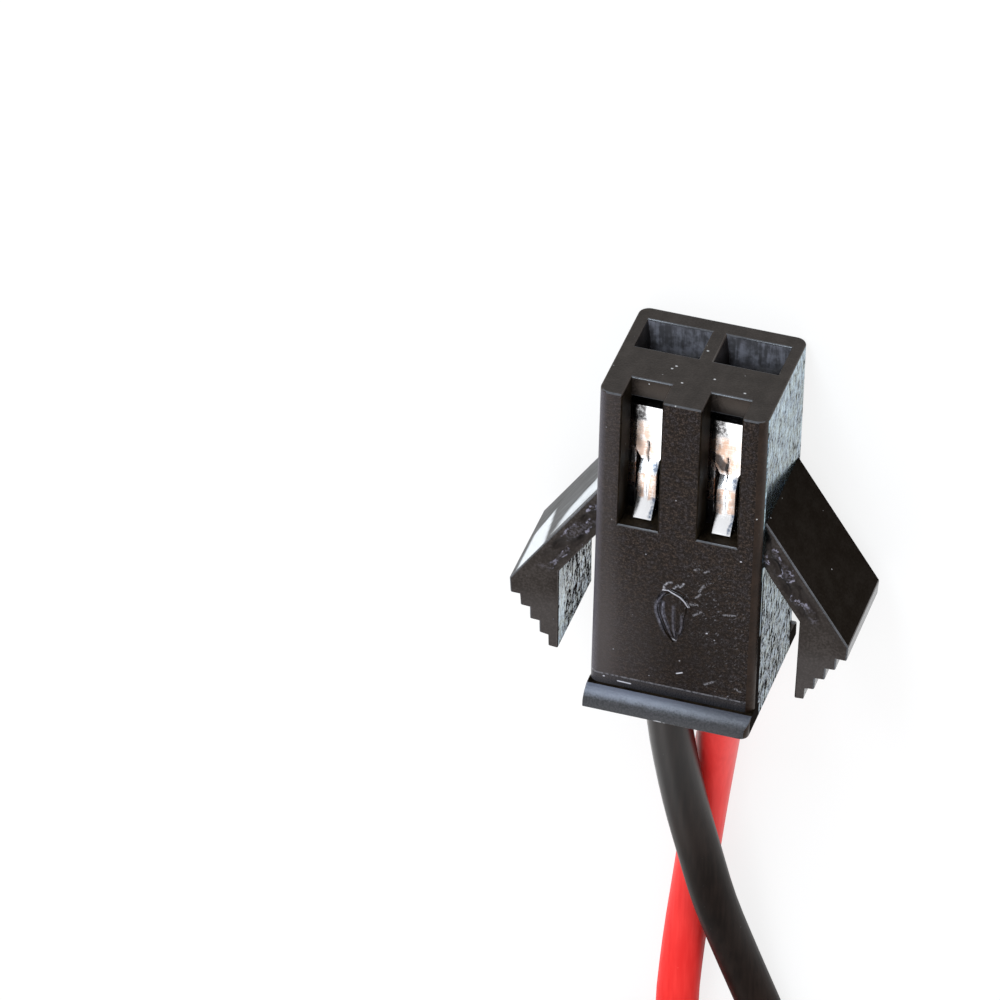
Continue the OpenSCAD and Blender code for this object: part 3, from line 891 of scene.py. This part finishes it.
housing_finishes.update({
    "smooth": smooth_mould("housing_smooth", (0.0015, 0.001, 0.0007), (0.012, 0.009, 0.0075), 0.32),
    "rims": smooth_mould("housing_rims", (0.006, 0.006, 0.008), (0.03, 0.03, 0.036), 0.34, 0.9, COOL),
    "mouth": smooth_mould("mouth_face", (0.002, 0.0014, 0.001), (0.014, 0.0115, 0.01), 0.36, 0.27,
                          WARM, MOUTH_SPECKS),
    "walls": smooth_mould("window_walls", (0.002, 0.0014, 0.0008), (0.014, 0.01, 0.006), 0.5, 0.05,
                          BROWN),
    "long edge": smooth_mould("long_edge", (0.004, 0.002, 0.0012), (0.016, 0.009, 0.006), 0.36, 0.32,
                              BROWN),
})

# %% [markdown]
# The floors of the two ways are a mottled pale bluish grey, which is a painted highlight, and painted
# shade darkens them further in. The lips have a painted highlight along their round shoulders, and
# painted glints on the burrs at their ends. Both are noise between a dark and a pale tone, with the
# place along the plug deciding how much of the pale one shows.

# %% Ways and lips
def way_floor(name):
    """The floor of a way, pale bluish grey as a painted highlight, with painted shade further in."""
    finish = Finish(name, Specular_IOR_Level=0.4)
    where = plug_mm(finish)
    [y] = where.parts("Y")
    cloud = where.noise(2.4, 4.0, 0.65)
    lines = where.stretch((9.0, 1.2, 9.0)).noise(1.2, 3.0)
    # Mottled pale bluish grey: a painted highlight on the floor.
    painted_sheen = (cloud * 0.6 + lines * 0.4).fade(0.4, 0.62)
    body = painted_sheen.mix((0.06, 0.06, 0.066), (0.17, 0.175, 0.205))
    # Painted shade, darker further into the way.
    depth = (y + cloud * 0.7).fade(0.0, -0.95) * 0.9
    finish.feed("Base Color", depth.mix(body, (0.012, 0.011, 0.012)))
    finish.feed("Roughness", 0.4 + (lines - 0.5) * 0.2)
    finish.feed("Normal", finish.relief(cloud + lines * 0.5, 0.02))
    return finish.done()


LIP_BURR_GLINTS = (((-0.33, -11.69), (-0.24, -11.67), (-0.12, -11.68)), ((-0.02, -11.69), (0.0, -11.69)))


def lip_face(name):
    """The round shoulder of a lip with a painted highlight along it, and painted glints on the burrs
    at its end.
    """
    finish = Finish(name, Specular_IOR_Level=0.6, Specular_Tint=COOL)
    where = plug_mm(finish)
    x, y = where.parts("XY")
    cloud = where.noise(2.2, 3.0, 0.6)
    grain = where.noise(15.0, 3.0, 0.65)
    # Painted highlight along the shoulder, fainter towards the right.
    painted_sheen = (y + (cloud - 0.5) * 0.12 + (grain - 0.5) * 0.12).fade(-11.36, -11.16)
    body = grain.fade(0.35, 0.65).mix((0.004, 0.0035, 0.0045), (0.024, 0.022, 0.025))
    body = (painted_sheen * (0.62 - 0.4 * x.fade(-1.5, 2.2))).mix(body, (0.16, 0.18, 0.235))
    # The burrs at the end are painted pale, as glints.
    finish.feed("Base Color", strokes(x, y, LIP_BURR_GLINTS, 0.045).mix(body, (0.55, 0.55, 0.58)))
    finish.feed("Roughness", 0.36 + (grain - 0.5) * 0.24)
    finish.feed("Normal", finish.relief(grain * 0.7 + cloud * 0.5, 0.03))
    return finish.done()


housing_finishes["floors"] = way_floor("way_floor")
housing_finishes["lips"] = lip_face("lip_face")

# %% [markdown]
# Which face gets which finish could be painted by hand, but the faces of a moulding can be told
# apart by where they are, which way they look and how wide they are, and such a rule still works
# when the CAD model is packed again. The way a face looks is its normal, so a part of it close to
# one means straight that way.

# %% Sort the housing's faces
FLAT, LEVEL, HALFWAY, SLANT, HINT = 0.97, 0.9, 0.5, 0.3, 0.1
EDGE_ZONE, FACE_ZONE, SKIN, NEAR, THIN = 0.4, 0.1, 0.02, 0.01, 0.045
WELTS_FROM, WELTS_TO, WELT_SKIN = -9.2, -6.5, 0.002
FLOOR_FROM, FLOOR_TO, WALLS_FROM, MOUTH_EDGE = 0.3, 1.5, 3.3, 0.05


def face_width(mesh, face):
    """How wide a long thin face is, in mm."""
    corners = [mesh.vertices[k].co for k in face.vertices]
    rim = sum((b - a).length for a, b in zip(corners, corners[1:] + corners[:1]))
    return 2 * face.area / rim / MM


def sort_faces(piece, finishes, choose):
    """Gives each face of a piece the finish whose name the rule returns."""
    names = list(finishes)
    counts = dict.fromkeys(names, 0)
    for material in finishes.values():
        piece.data.materials.append(material)
    for face in piece.data.polygons:
        name = choose(upright(face.center), upright_way(face.normal), face_width(piece.data, face))
        face.material_index = names.index(name)
        counts[name] += 1
    print(piece.name, "faces by finish:", counts)


def housing_choice(place, way, width):
    """The name of a housing face's finish."""
    inside = abs(place.x) < HALF_W - EDGE_ZONE
    if inside and WELTS_FROM < place.y < WELTS_TO and place.z > PLUG_T + WELT_SKIN:
        return "grain"
    if abs(place.z - PLUG_T / 2) > PLUG_T / 2 + SKIN:
        return "lips" if abs(way.x) < HALFWAY else "long edge"
    if abs(way.z) > FLAT and (place.z > PLUG_T - FACE_ZONE or place.z < FACE_ZONE):
        return "grain"
    if abs(way.x) > FLAT and abs(place.x) > HALF_W - SKIN:
        return "sides"
    if way.z > LEVEL and FLOOR_FROM < place.z < FLOOR_TO:
        return "floors"
    if (inside and place.z > WALLS_FROM and place.y < -MOUTH_EDGE
            and (abs(way.x) > SLANT or way.y > LEVEL)):
        return "walls"
    if width < THIN and abs(way.x) < SLANT:
        return "rims"
    if (place.z > PLUG_T - EDGE_ZONE and abs(place.x) > HALF_W - EDGE_ZONE
            and way.z > HINT and way.y < SLANT):
        return "grain" if place.x < 0 else "long edge"
    if way.y > FLAT and place.y > -NEAR:
        return "mouth"
    return "smooth"


sort_faces(housing, housing_finishes, housing_choice)
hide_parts("socket_housing")
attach(housing, "housing")

# %% [markdown]
# ## The latch arms
# An arm springs from the side of the housing, runs outwards at 34 degrees and ends in a tail with
# finger steps. The CAD arm turns on a round knuckle. Here the knuckle is cut away, the open end is
# extruded back along the arm in short steps until it is inside the housing, and a last cut closes it
# there, so the root reaches into the housing.

# %% Latch arm shapes
ARM_TURN = math.radians(34.2)
ARM_SIN, ARM_COS = math.sin(ARM_TURN), math.cos(ARM_TURN)
KNUCKLE_X, KNUCKLE_Y, KNUCKLE_CUT = 3.175, -5.7176, 0.03
ROOT_STEP, ROOT_STEPS, ROOT_DEPTH = 0.27, 7, 0.08


def arm_way(side):
    """The direction of an arm from its root to its tip."""
    return laid_way(side * ARM_SIN, -ARM_COS, 0)


def knuckle_at(side):
    """Where the CAD arm turns, half way up the plug."""
    return laid(side * KNUCKLE_X, KNUCKLE_Y, PLUG_T / 2)


def latch_arm(node, name, side):
    """A copy of an arm with a root in place of its knuckle."""
    along = arm_way(side)
    arm = merged_copy(node, name)
    edit(arm)
    bpy.ops.mesh.bisect(plane_co=knuckle_at(side) + along * KNUCKLE_CUT * MM, plane_no=along,
                        clear_inner=True, threshold=CLEAN_CUT)
    open_edges()
    for _ in range(ROOT_STEPS):
        bpy.ops.mesh.extrude_edges_move(
            TRANSFORM_OT_translate={"value": -along * ROOT_STEP * MM})
    bpy.ops.mesh.select_all(action="SELECT")
    bpy.ops.mesh.bisect(plane_co=(side * (HALF_W - ROOT_DEPTH) * MM, 0, 0), plane_no=(side, 0, 0),
                        clear_inner=True, use_fill=True, threshold=CLEAN_CUT)
    bpy.ops.mesh.select_all(action="SELECT")
    bpy.ops.mesh.remove_doubles(threshold=SAME_POINT)
    bpy.ops.mesh.normals_make_consistent(inside=False)
    leave()
    print(arm.name, "rounded edges:", round_edges(arm, EDGE_R))
    return arm


arms = {-1: latch_arm("latch_arm_left", "latch_left", -1),
        1: latch_arm("latch_arm_right", "latch_right", 1)}

# %% [markdown]
# The face of an arm towards the window is crumpled near the root, as if the plastic had set before
# it filled the mould. A bump would not show in the mesh, and a sculpting brush needs a hand. So that
# face is cut into small squares, and two kinds of noise lift and sink their corners: wide swells,
# and sharp crests where the noise passes through zero. The rim of the face stays where it is.

# %% Crumpled arm fronts
ARM_FRONT_Z, ROOT_Y = 4.1, -4.1
CRUMPLE_L, CRUMPLE_FROM, CRUMPLE_TO = 4.3, 0.09, 0.87
FULL_L, FULL_FROM, FULL_TO, RIM_W = 2.9, 0.3, 0.68, 0.02
SQUARE_L, SQUARE_W = 0.086, 0.068
SWELL, SWELL_SCALE, SWELL_PLACE = 0.13, (1.5, 3.0), 7.3
CREST, CREST_SCALE, CREST_PLACE, CREST_LEVEL = 0.11, (2.4, 4.6), 3.7, 0.35
SUNK = 0.015


def arm_lengths(reach, y):
    """How far along an arm from its root, and across it from its outside, in mm."""
    drop = y - ROOT_Y
    return reach * ARM_SIN - drop * ARM_COS, drop * -ARM_SIN - reach * ARM_COS


def lengths_at(place):
    """The same for a place on either arm of the upright plug."""
    return arm_lengths(abs(place.x) - HALF_W, place.y)


def ramp(value, start, end):
    """The soft step of a finish's fade, for one number."""
    share = min(max((value - start) / (end - start), 0), 1)
    return share * share * (3 - 2 * share)


def ripple(length, depth, scale, place):
    """Smooth noise at a place on an arm, finer across the arm than along it."""
    return noise.noise(Vector((length * scale[0], depth * scale[1], place)))


def crumple(arm, side):
    """Cuts the front of an arm into small squares and moves their corners in folds along it."""
    inward = laid_way(-side * ARM_COS, -ARM_SIN, 0)
    root = laid(side * HALF_W, ROOT_Y, ARM_FRONT_Z)

    def cut_front(way, distance, limit):
        cut(arm, lambda face: upright_way(face.normal).z > FLAT
            and lengths_at(upright(face.center))[0] < limit, root + way * distance * MM, way)

    cut_front(arm_way(side), CRUMPLE_L, PLUG_L)
    for k in range(1, round(CRUMPLE_L / SQUARE_L)):
        cut_front(arm_way(side), CRUMPLE_L - k * SQUARE_L, CRUMPLE_L)
    for k in range(round((CRUMPLE_TO - CRUMPLE_FROM) / SQUARE_W) + 1):
        cut_front(inward, CRUMPLE_FROM + k * SQUARE_W, CRUMPLE_L)
    lift = laid_way(0, 0, 1)
    for corner in arm.data.vertices:
        place = upright(corner.co)
        if place.z > ARM_FRONT_Z - NEAR:
            length, depth = lengths_at(place)
            share = (ramp(length, CRUMPLE_L, FULL_L) * ramp(depth, CRUMPLE_FROM + RIM_W, FULL_FROM)
                     * ramp(depth, CRUMPLE_TO - RIM_W, FULL_TO))
            swell = ripple(length, depth, SWELL_SCALE, SWELL_PLACE * side)
            crest = CREST_LEVEL - abs(ripple(length, depth, CREST_SCALE, CREST_PLACE * side))
            rise = SWELL * swell + CREST * crest
            corner.co += lift * (rise - SUNK) * share * MM


for side, arm in arms.items():
    crumple(arm, side)
    smooth(arm)
    print(arm.name, "faces:", len(arm.data.polygons))

# %% [markdown]
# The front of an arm has the fine grain of the window face. Its folds are shapes already, and their
# colour adds painted shade that keeps the hollows dark and a broken painted highlight along the
# crests. The height above the flat face, which the mesh now has, tells the finish where they are.

# %% Arm front finish
def arm_front(name):
    """Fine grain, paler towards the tail, with painted shade in the hollows and painted highlights on
    the crests near the root.
    """
    finish = Finish(name, Specular_IOR_Level=0.28, Specular_Tint=WARM)
    where = plug_mm(finish)
    x, y, z = where.parts("XYZ")
    along, across = arm_lengths(x.size() - HALF_W, y)
    grain = where.noise(12.0, 3.0, 0.6)
    cloud = where.noise(1.6, 3.0)
    specks = where.cells(3.0).fade(0.07, 0.03)
    rise = z - ARM_FRONT_Z
    kept = where.noise(3.2, 2.0).fade(0.47, 0.56) * along.fade(4.0, 2.6)
    # Painted highlights along the crests, and painted shade in the hollows below the flat face.
    lines = (rise - 0.022).size().fade(0.016, 0.004) * grain.fade(0.4, 0.58)
    painted_crest_highlights = lines * kept + rise.fade(0.0, 0.05) * grain.fade(0.42, 0.62) * 0.16
    painted_hollow_shade = rise.fade(-0.004, -0.03)
    crumpled = along.fade(4.4, 2.4) * (across - 0.5).size().fade(0.44, 0.24)
    tail = y.fade(-8.2, -9.2)
    mottle = (grain * 0.7 + cloud * 0.3).fade(0.42, 0.64)
    body = mottle.mix((0.003, 0.0022, 0.002), (0.024, 0.02, 0.019))
    body = (tail * 0.26).mix(body, (0.08, 0.074, 0.075))
    body = (crumpled * 0.4 + painted_hollow_shade).clip().mix(body, (0.002, 0.0014, 0.002))
    pale = (specks * 0.4 + painted_crest_highlights * 0.62).clip()
    finish.feed("Base Color", pale.mix(body, (0.34, 0.33, 0.43)))
    finish.feed("Roughness", 0.4 + (grain - 0.5) * 0.25 - painted_crest_highlights * 0.14)
    finish.feed("Normal", finish.relief(grain * 0.7 + specks, 0.014))
    return finish.done()


arm_finishes = {"front": arm_front("arm_grain")}

# %% [markdown]
# The outside of an arm is smooth. On the left arm two places are glossier, a band beside the front
# edge near the root and a patch before the tip: a second, glossier coat lies over the plastic there,
# and a pale colour is painted in as the reflection of the white floor. The inside is as coarse as the
# housing's sides, and the thin front rims and the ends of the tips are the glossiest; the rims are
# also painted paler, as a highlight.

# %% Other arm finishes
def sheen_streaked_outside(name):
    """The smooth outside of the left arm with its two glossy patches, painted pale as reflections."""
    finish = Finish(name, Specular_IOR_Level=0.12, Specular_Tint=WARM,
                    Coat_IOR=2.0, Coat_Roughness=0.16)
    where = plug_mm(finish)
    x, y, z = where.parts("XYZ")
    along = arm_lengths(x.size() - HALF_W, y)[0]
    drag = where.stretch((1.0, 1.0, 9.0)).noise(0.9, 3.0, 0.6)
    hairs = where.stretch((0.7, 0.7, 24.0)).noise(1.0, 2.0).fade(0.5, 0.62)
    grain = where.noise(14.0, 3.0, 0.6)
    ragged = (drag - 0.5) * 0.9
    off_edge = z.fade(ARM_FRONT_Z - 0.16, ARM_FRONT_Z - 0.34)
    band = ((z + ragged - along * 0.22).fade(2.35, 2.75) * off_edge
            * (along + (ARM_FRONT_Z - z) * 0.6 + ragged).fade(3.1, 2.4))
    patch = ((along + (z - 2) * 0.25 + ragged * 0.4).fade(3.4, 3.7)
             * along.fade(4.65, 4.4) * (z - (along - 3.6) * 0.5).fade(1.55, 1.85))
    gloss_and_painted_sheen = (band * (1 - hairs * 0.45) + patch).clip()
    tone = (grain * 0.4 + drag * 0.6).fade(0.36, 0.62)
    body = tone.mix((0.006, 0.006, 0.006), (0.075, 0.077, 0.078))
    # Painted reflection: the glossy patches are painted pale as well as coated.
    finish.feed("Base Color", (gloss_and_painted_sheen * 0.85).mix(body, (0.62, 0.67, 0.7)))
    finish.feed("Roughness", 0.42 + (grain - 0.5) * 0.2)
    finish.feed("Coat Weight", gloss_and_painted_sheen)
    finish.feed("Normal", finish.relief(grain * 0.5 + drag * 0.4, 0.012, strength=0.7))
    return finish.done()


arm_finishes.update({
    "inside": eroded_side("arm_sparkle", 0.043, 0.06),
    "steps": smooth_mould("arm_steps", (0.02, 0.017, 0.016), (0.05, 0.044, 0.044), 0.42),
    # The arm rims are glossy and also painted paler, as a highlight.
    "rims": smooth_mould("arm_rims_painted_highlight", (0.02, 0.02, 0.022), (0.06, 0.06, 0.07), 0.28, 0.8, COOL),
    "tip": smooth_mould("arm_tip", (0.01, 0.01, 0.012), (0.03, 0.03, 0.034), 0.18, 0.6, COOL),
})
outer_finishes = {
    -1: sheen_streaked_outside("arm_outside_left"),
    1: smooth_mould("arm_outside_right", (0.008, 0.006, 0.0045), (0.013, 0.0105, 0.0085), 0.3, 0.0),
}

# %% [markdown]
# The arms' faces are sorted as the housing's are, the CAD arms are hidden, and each arm's place is
# baked into its mesh.

# %% Sort the arms
FOLD_DEPTH, BEND = 0.2, 0.9
RIM_TURN, TIP_TURN, OUTSIDE_TURN, OUTSIDE_RISE = 0.2, 0.95, 0.7, 0.4


def arm_choice(side):
    """A rule that names the finish of a face of the arm on one side."""
    def choose(place, way, width):
        length, depth = lengths_at(place)
        outward = way.x * side
        crumpled = length < CRUMPLE_L and CRUMPLE_FROM < depth < CRUMPLE_TO
        if abs(way.z) > FLAT or (crumpled and place.z > ARM_FRONT_Z - FOLD_DEPTH):
            return "front"
        if width < THIN and way.z > RIM_TURN and outward > RIM_TURN:
            return "rims"
        if outward > TIP_TURN:
            return "tip"
        if outward < -HALFWAY:
            return "inside"
        if outward > OUTSIDE_TURN and way.y > OUTSIDE_RISE:
            return "outside"
        return "steps"
    return choose


for side, body in ((-1, "arm_left"), (1, "arm_right")):
    arm, along, knuckle = arms[side], arm_way(side), knuckle_at(side)
    sort_faces(arm, {**arm_finishes, "outside": outer_finishes[side]}, arm_choice(side))
    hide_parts("latch_" + body)
    knuckle - along * BEND * MM
    knuckle + along * BEND * MM
    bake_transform(arm)

# %% [markdown]
# ## The contacts
# A contact is stamped from thin tinned strip and folded into a box with crimps behind it. Through the
# windows only its top and its locking tongue show, and they are the brightest part of the plug. The
# tin is tan in patches with ragged edges, on the left of each plate and on the flat of the tongue,
# which is partly wear and partly a painted brown reflection. It is stained in a few places and has a
# dark smudge on the right contact, and painted shade darkens the top-left corner of each plate and
# what lies deep inside the way. Even wear would look painted, so the patches have limits and the
# stains have strokes in millimetres from the middle of a way, and noise moves the edges of both. A
# small bevel on the copy of the CAD node gives the sheared edges a glint.

# %% Contact shapes and tin
CREASES = (((-0.08, -2.42), (-0.05, -2.62), (-0.09, -2.86), (-0.06, -3.12)),)
SEAMS = (((-0.01, -2.45), (-0.02, -3.1), (0.02, -3.75), (0.04, -4.5)),)
DRAWN_LINES = (((-0.4, -1.95), (0.3, -1.91)), ((-0.45, -2.16), (0.25, -2.09)))
STAINS = (((0.2, -3.2), (0.26, -3.3)), ((0.29, -4.35), (0.25, -4.7)))
DARK_SMUDGES = (((-0.4, -2.5), (-0.3, -2.64), (-0.2, -2.8)),)


def tin(name):
    """Bright tin, tan in patches (partly wear, partly painted reflection), stained, with a dark
    smudge, and painted shade in a corner and deep inside the way.
    """
    finish = Finish(name, Metallic=1.0)
    where = plug_mm(finish)
    x, y, z = where.parts("XYZ")
    across = x - x.math("SIGN", x) * WAY_X
    cloud = where.noise(2.1, 3.0, 0.6)
    grit = where.noise(9.0, 3.0, 0.65)
    swell = where.stretch((0.8, 1.0, 0.8)).noise(1.6, 1.0, 0.4)
    lines = where.stretch((3.0, 24.0, 3.0)).noise(1.0, 2.0)
    drips = where.stretch((9.0, 2.4, 2.4)).noise(1.0, 3.0, 0.6)
    edge = (cloud - 0.5) * 1.2 + (grit - 0.5) * 0.25
    crease = strokes(across, y, CREASES, 0.06) * grit.fade(0.35, 0.5)
    seam = strokes(across, y, SEAMS, 0.05) * cloud.fade(0.35, 0.5)
    drawn = strokes(across, y, DRAWN_LINES, 0.04) * cloud.fade(0.4, 0.55)
    right = x.fade(-0.5, 0.5)
    speckled = 0.45 + 0.55 * grit.fade(0.4, 0.56)
    stain = (strokes(across + edge * 0.25, y, STAINS, 0.14) * 1.8).clip() * speckled
    dark_smudge = (strokes(across + edge * 0.2, y, DARK_SMUDGES, 0.24) * 2).clip() * right
    # The tan patches are partly wear and partly a painted brown reflection.
    worn = (across + edge * 0.6).fade(0.3 + right * 0.4, -0.15) * (0.85 + right * 0.15)
    plate = worn * (y + 2.4 + edge * 0.4).size().fade(0.8, 0.55)
    middle = (across + edge * 0.1).size().fade(0.09, 0.05)
    flat = (y + 3.87 + edge * 0.2).size().fade(0.5, 0.4) * (1 - middle)
    # Painted shade in the top-left corner of each plate, beside the walls.
    corner = (across + edge * 0.7).fade(-0.02, -0.22) * (y + edge * 0.3).fade(-1.8, -1.55)
    tan = (plate + flat * 0.9).clip() * (0.5 + 0.5 * (drips * 0.7 + lines * 0.3).fade(0.42, 0.56))
    body = tan.mix((0.97, 0.97, 0.98), (0.72, 0.49, 0.37))
    body = (drawn * 0.5).mix(body, (0.95, 0.9, 0.85))
    body = (stain * 0.85).mix(body, (0.12, 0.17, 0.26))
    # Painted shade deep inside the way.
    inside = z.fade(2.9, 2.4)
    dark = (corner * 0.9 * speckled + crease * 0.6 + dark_smudge * 0.92 + inside * 0.9).clip()
    finish.feed("Base Color", dark.mix(body, (0.055, 0.05, 0.05)))
    finish.feed("Roughness", 0.22 + (lines - 0.5) * 0.14 + tan * 0.1)
    finish.feed("Normal", finish.relief(swell + lines * 0.05 - crease * 0.15 + seam * 0.1, 0.06))
    return finish.done()


CONTACT_TOP_Z, CONTACT_SHOWS, CONTACT_EDGE_R = 3.45, 0.25, 0.025
tin_plate = tin("tin_plate")
for node, name in (("contact_left", "contact_left_strip"), ("contact_right", "contact_right_strip")):
    contact = merged_copy(node, name)
    round_edges(contact, CONTACT_EDGE_R,
                lambda point: upright(point).z > CONTACT_TOP_Z - CONTACT_SHOWS)
    smooth(contact)
    contact.data.materials.append(tin_plate)
    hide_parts(node)
    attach(contact, "housing")
    print(contact.name, "faces:", len(contact.data.polygons))

# %% [markdown]
# ## Strands, tinned ends and the tie
# Inside the crimp and at the far end the metal shows: dull tinned strands in the crimp, and at the
# free ends strands twisted and dipped in tin. The crimped strands are hidden, so their CAD nodes
# stay and only get a finish. Each free end is laid up as the real one is: six strands wound round a
# seventh, in the space of its CAD node.

# %% Strands and free ends
def strand_metal(name, colour):
    """Dull metal in clouds of a colour and a darker one."""
    finish = Finish(name, Metallic=1.0)
    cloud = object_mm(finish).noise(6.0, 2.0)
    dull = [0.75 * c for c in colour]
    finish.feed("Base Color", cloud.fade(0.3, 0.7).mix(colour, dull))
    finish.feed("Roughness", 0.3 + (cloud - 0.5) * 0.2)
    return finish.done()


strands = strand_metal("tinned_strands", (0.5, 0.47, 0.44))
tinned = strand_metal("tinned_end", (0.8, 0.8, 0.78))
for node in ("black_conductor", "red_conductor"):
    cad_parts[node].data.materials.clear()
    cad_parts[node].data.materials.append(strands)

OUTER_STRANDS, STRAND_RADII = 6, 6
STRAND_PARTS, STRAND_TURNS, END_GAP, PINCH = 28, 1.6, 0.03, 0.2


def twisted_end(node, name):
    """Six strands wound round a seventh, as long and as thick as the CAD node."""
    low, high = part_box(node)
    middle = (low + high) / 2
    radius = (high.x - low.x) / STRAND_RADII
    paths = []
    for strand in range(OUTER_STRANDS + 1):
        off = 0 if strand == OUTER_STRANDS else 2 * radius
        path = []
        for k in range(STRAND_PARTS + 1):
            share = k / STRAND_PARTS
            turn = 2 * math.pi * (strand / OUTER_STRANDS + STRAND_TURNS * share)
            near = off * (1 - PINCH * share ** 6)
            path.append((middle.x + near * math.cos(turn),
                         high.y + (low.y + END_GAP * MM - high.y) * share,
                         middle.z + near * math.sin(turn)))
        paths.append(path)
    only(round_lines(name, paths, radius, 3))
    bpy.ops.object.convert(target="MESH")
    end = bpy.context.object
    end.data.materials.append(tinned)
    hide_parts(node)
    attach(end, "housing")
    print(end.name, "faces:", len(end.data.polygons))
    return end


black_end = twisted_end("black_tip", "black_end")
red_end = twisted_end("red_tip", "red_end")

# %% [markdown]
# The hank is held by a small tie of black plastic, and its head has grooves for the thumb. Bars could
# be added on top, but that would make the head higher than the CAD model has it. So the top of the
# rounded copy is cut into strips, and every other strip is inset and sunk.

# %% Tie
GROOVE_STEP, GROOVE_EDGE, GROOVE_DEPTH, TIE_EDGE_R = 0.29, 0.06, 0.12, 0.06
tie = merged_copy("hank_tie", "wire_tie")
round_edges(tie, TIE_EDGE_R)
head_top = max(vertex.co.z for vertex in tie.data.vertices)


def on_head(face):
    """Tells whether a face is part of the top of the tie's head."""
    return face.normal.z > FLAT and face.center.z > head_top - NEAR * MM


pick(tie, "FACE", on_head)
leave()
head_y = sorted(tie.data.vertices[k].co.y for face in tie.data.polygons if face.select
                for k in face.vertices)
strips = 2 * round((head_y[-1] - head_y[0]) / (2 * GROOVE_STEP * MM)) + 1
strip_l = (head_y[-1] - head_y[0]) / strips
for k in range(1, strips):
    cut(tie, on_head, (0, head_y[0] + k * strip_l, 0), (0, 1, 0))
grooves = pick(tie, "FACE", lambda face: on_head(face)
               and int((face.center.y - head_y[0]) / strip_l) % 2 == 1)
bpy.ops.mesh.inset(thickness=GROOVE_EDGE * MM, depth=-GROOVE_DEPTH * MM, use_individual=True)
leave()
smooth(tie)
strap = Finish("tie_strap", Specular_IOR_Level=0.5)
where = object_mm(strap)
haze = where.noise(3.0, 3.0)
strap.feed("Base Color", haze.mix((0.012, 0.012, 0.012), (0.03, 0.03, 0.03)))
strap.feed("Roughness", 0.42 + (haze - 0.5) * 0.2)
strap.feed("Normal", strap.relief(where.noise(14.0, 2.0), 0.01))
tie.data.materials.append(strap.done())
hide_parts("hank_tie")
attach(tie, "housing")
print("tie faces:", len(tie.data.polygons), "with", grooves, "grooves")

# %% [markdown]
# ## The length of the leads
# A lead is a fixed length of something flexible. Here the length of each lead's route is worked out
# and printed.

for lead, path, x, pieces in (
        (black_lead, black_path, -WAY_X, [black_end, tie]),
        (red_lead, red_path, WAY_X, [red_end])):
    tuple(laid(x, -PLUG_L, LEAD_Z))
    round(path_length(path), 3)
    print(lead.name, "declared at", round(path_length(path), 3), "m")

# %% [markdown]
# ## Finish
# Dressing must not change the object's size. Here the view layer is brought up to date.

# %% Finish
bpy.context.view_layer.update()
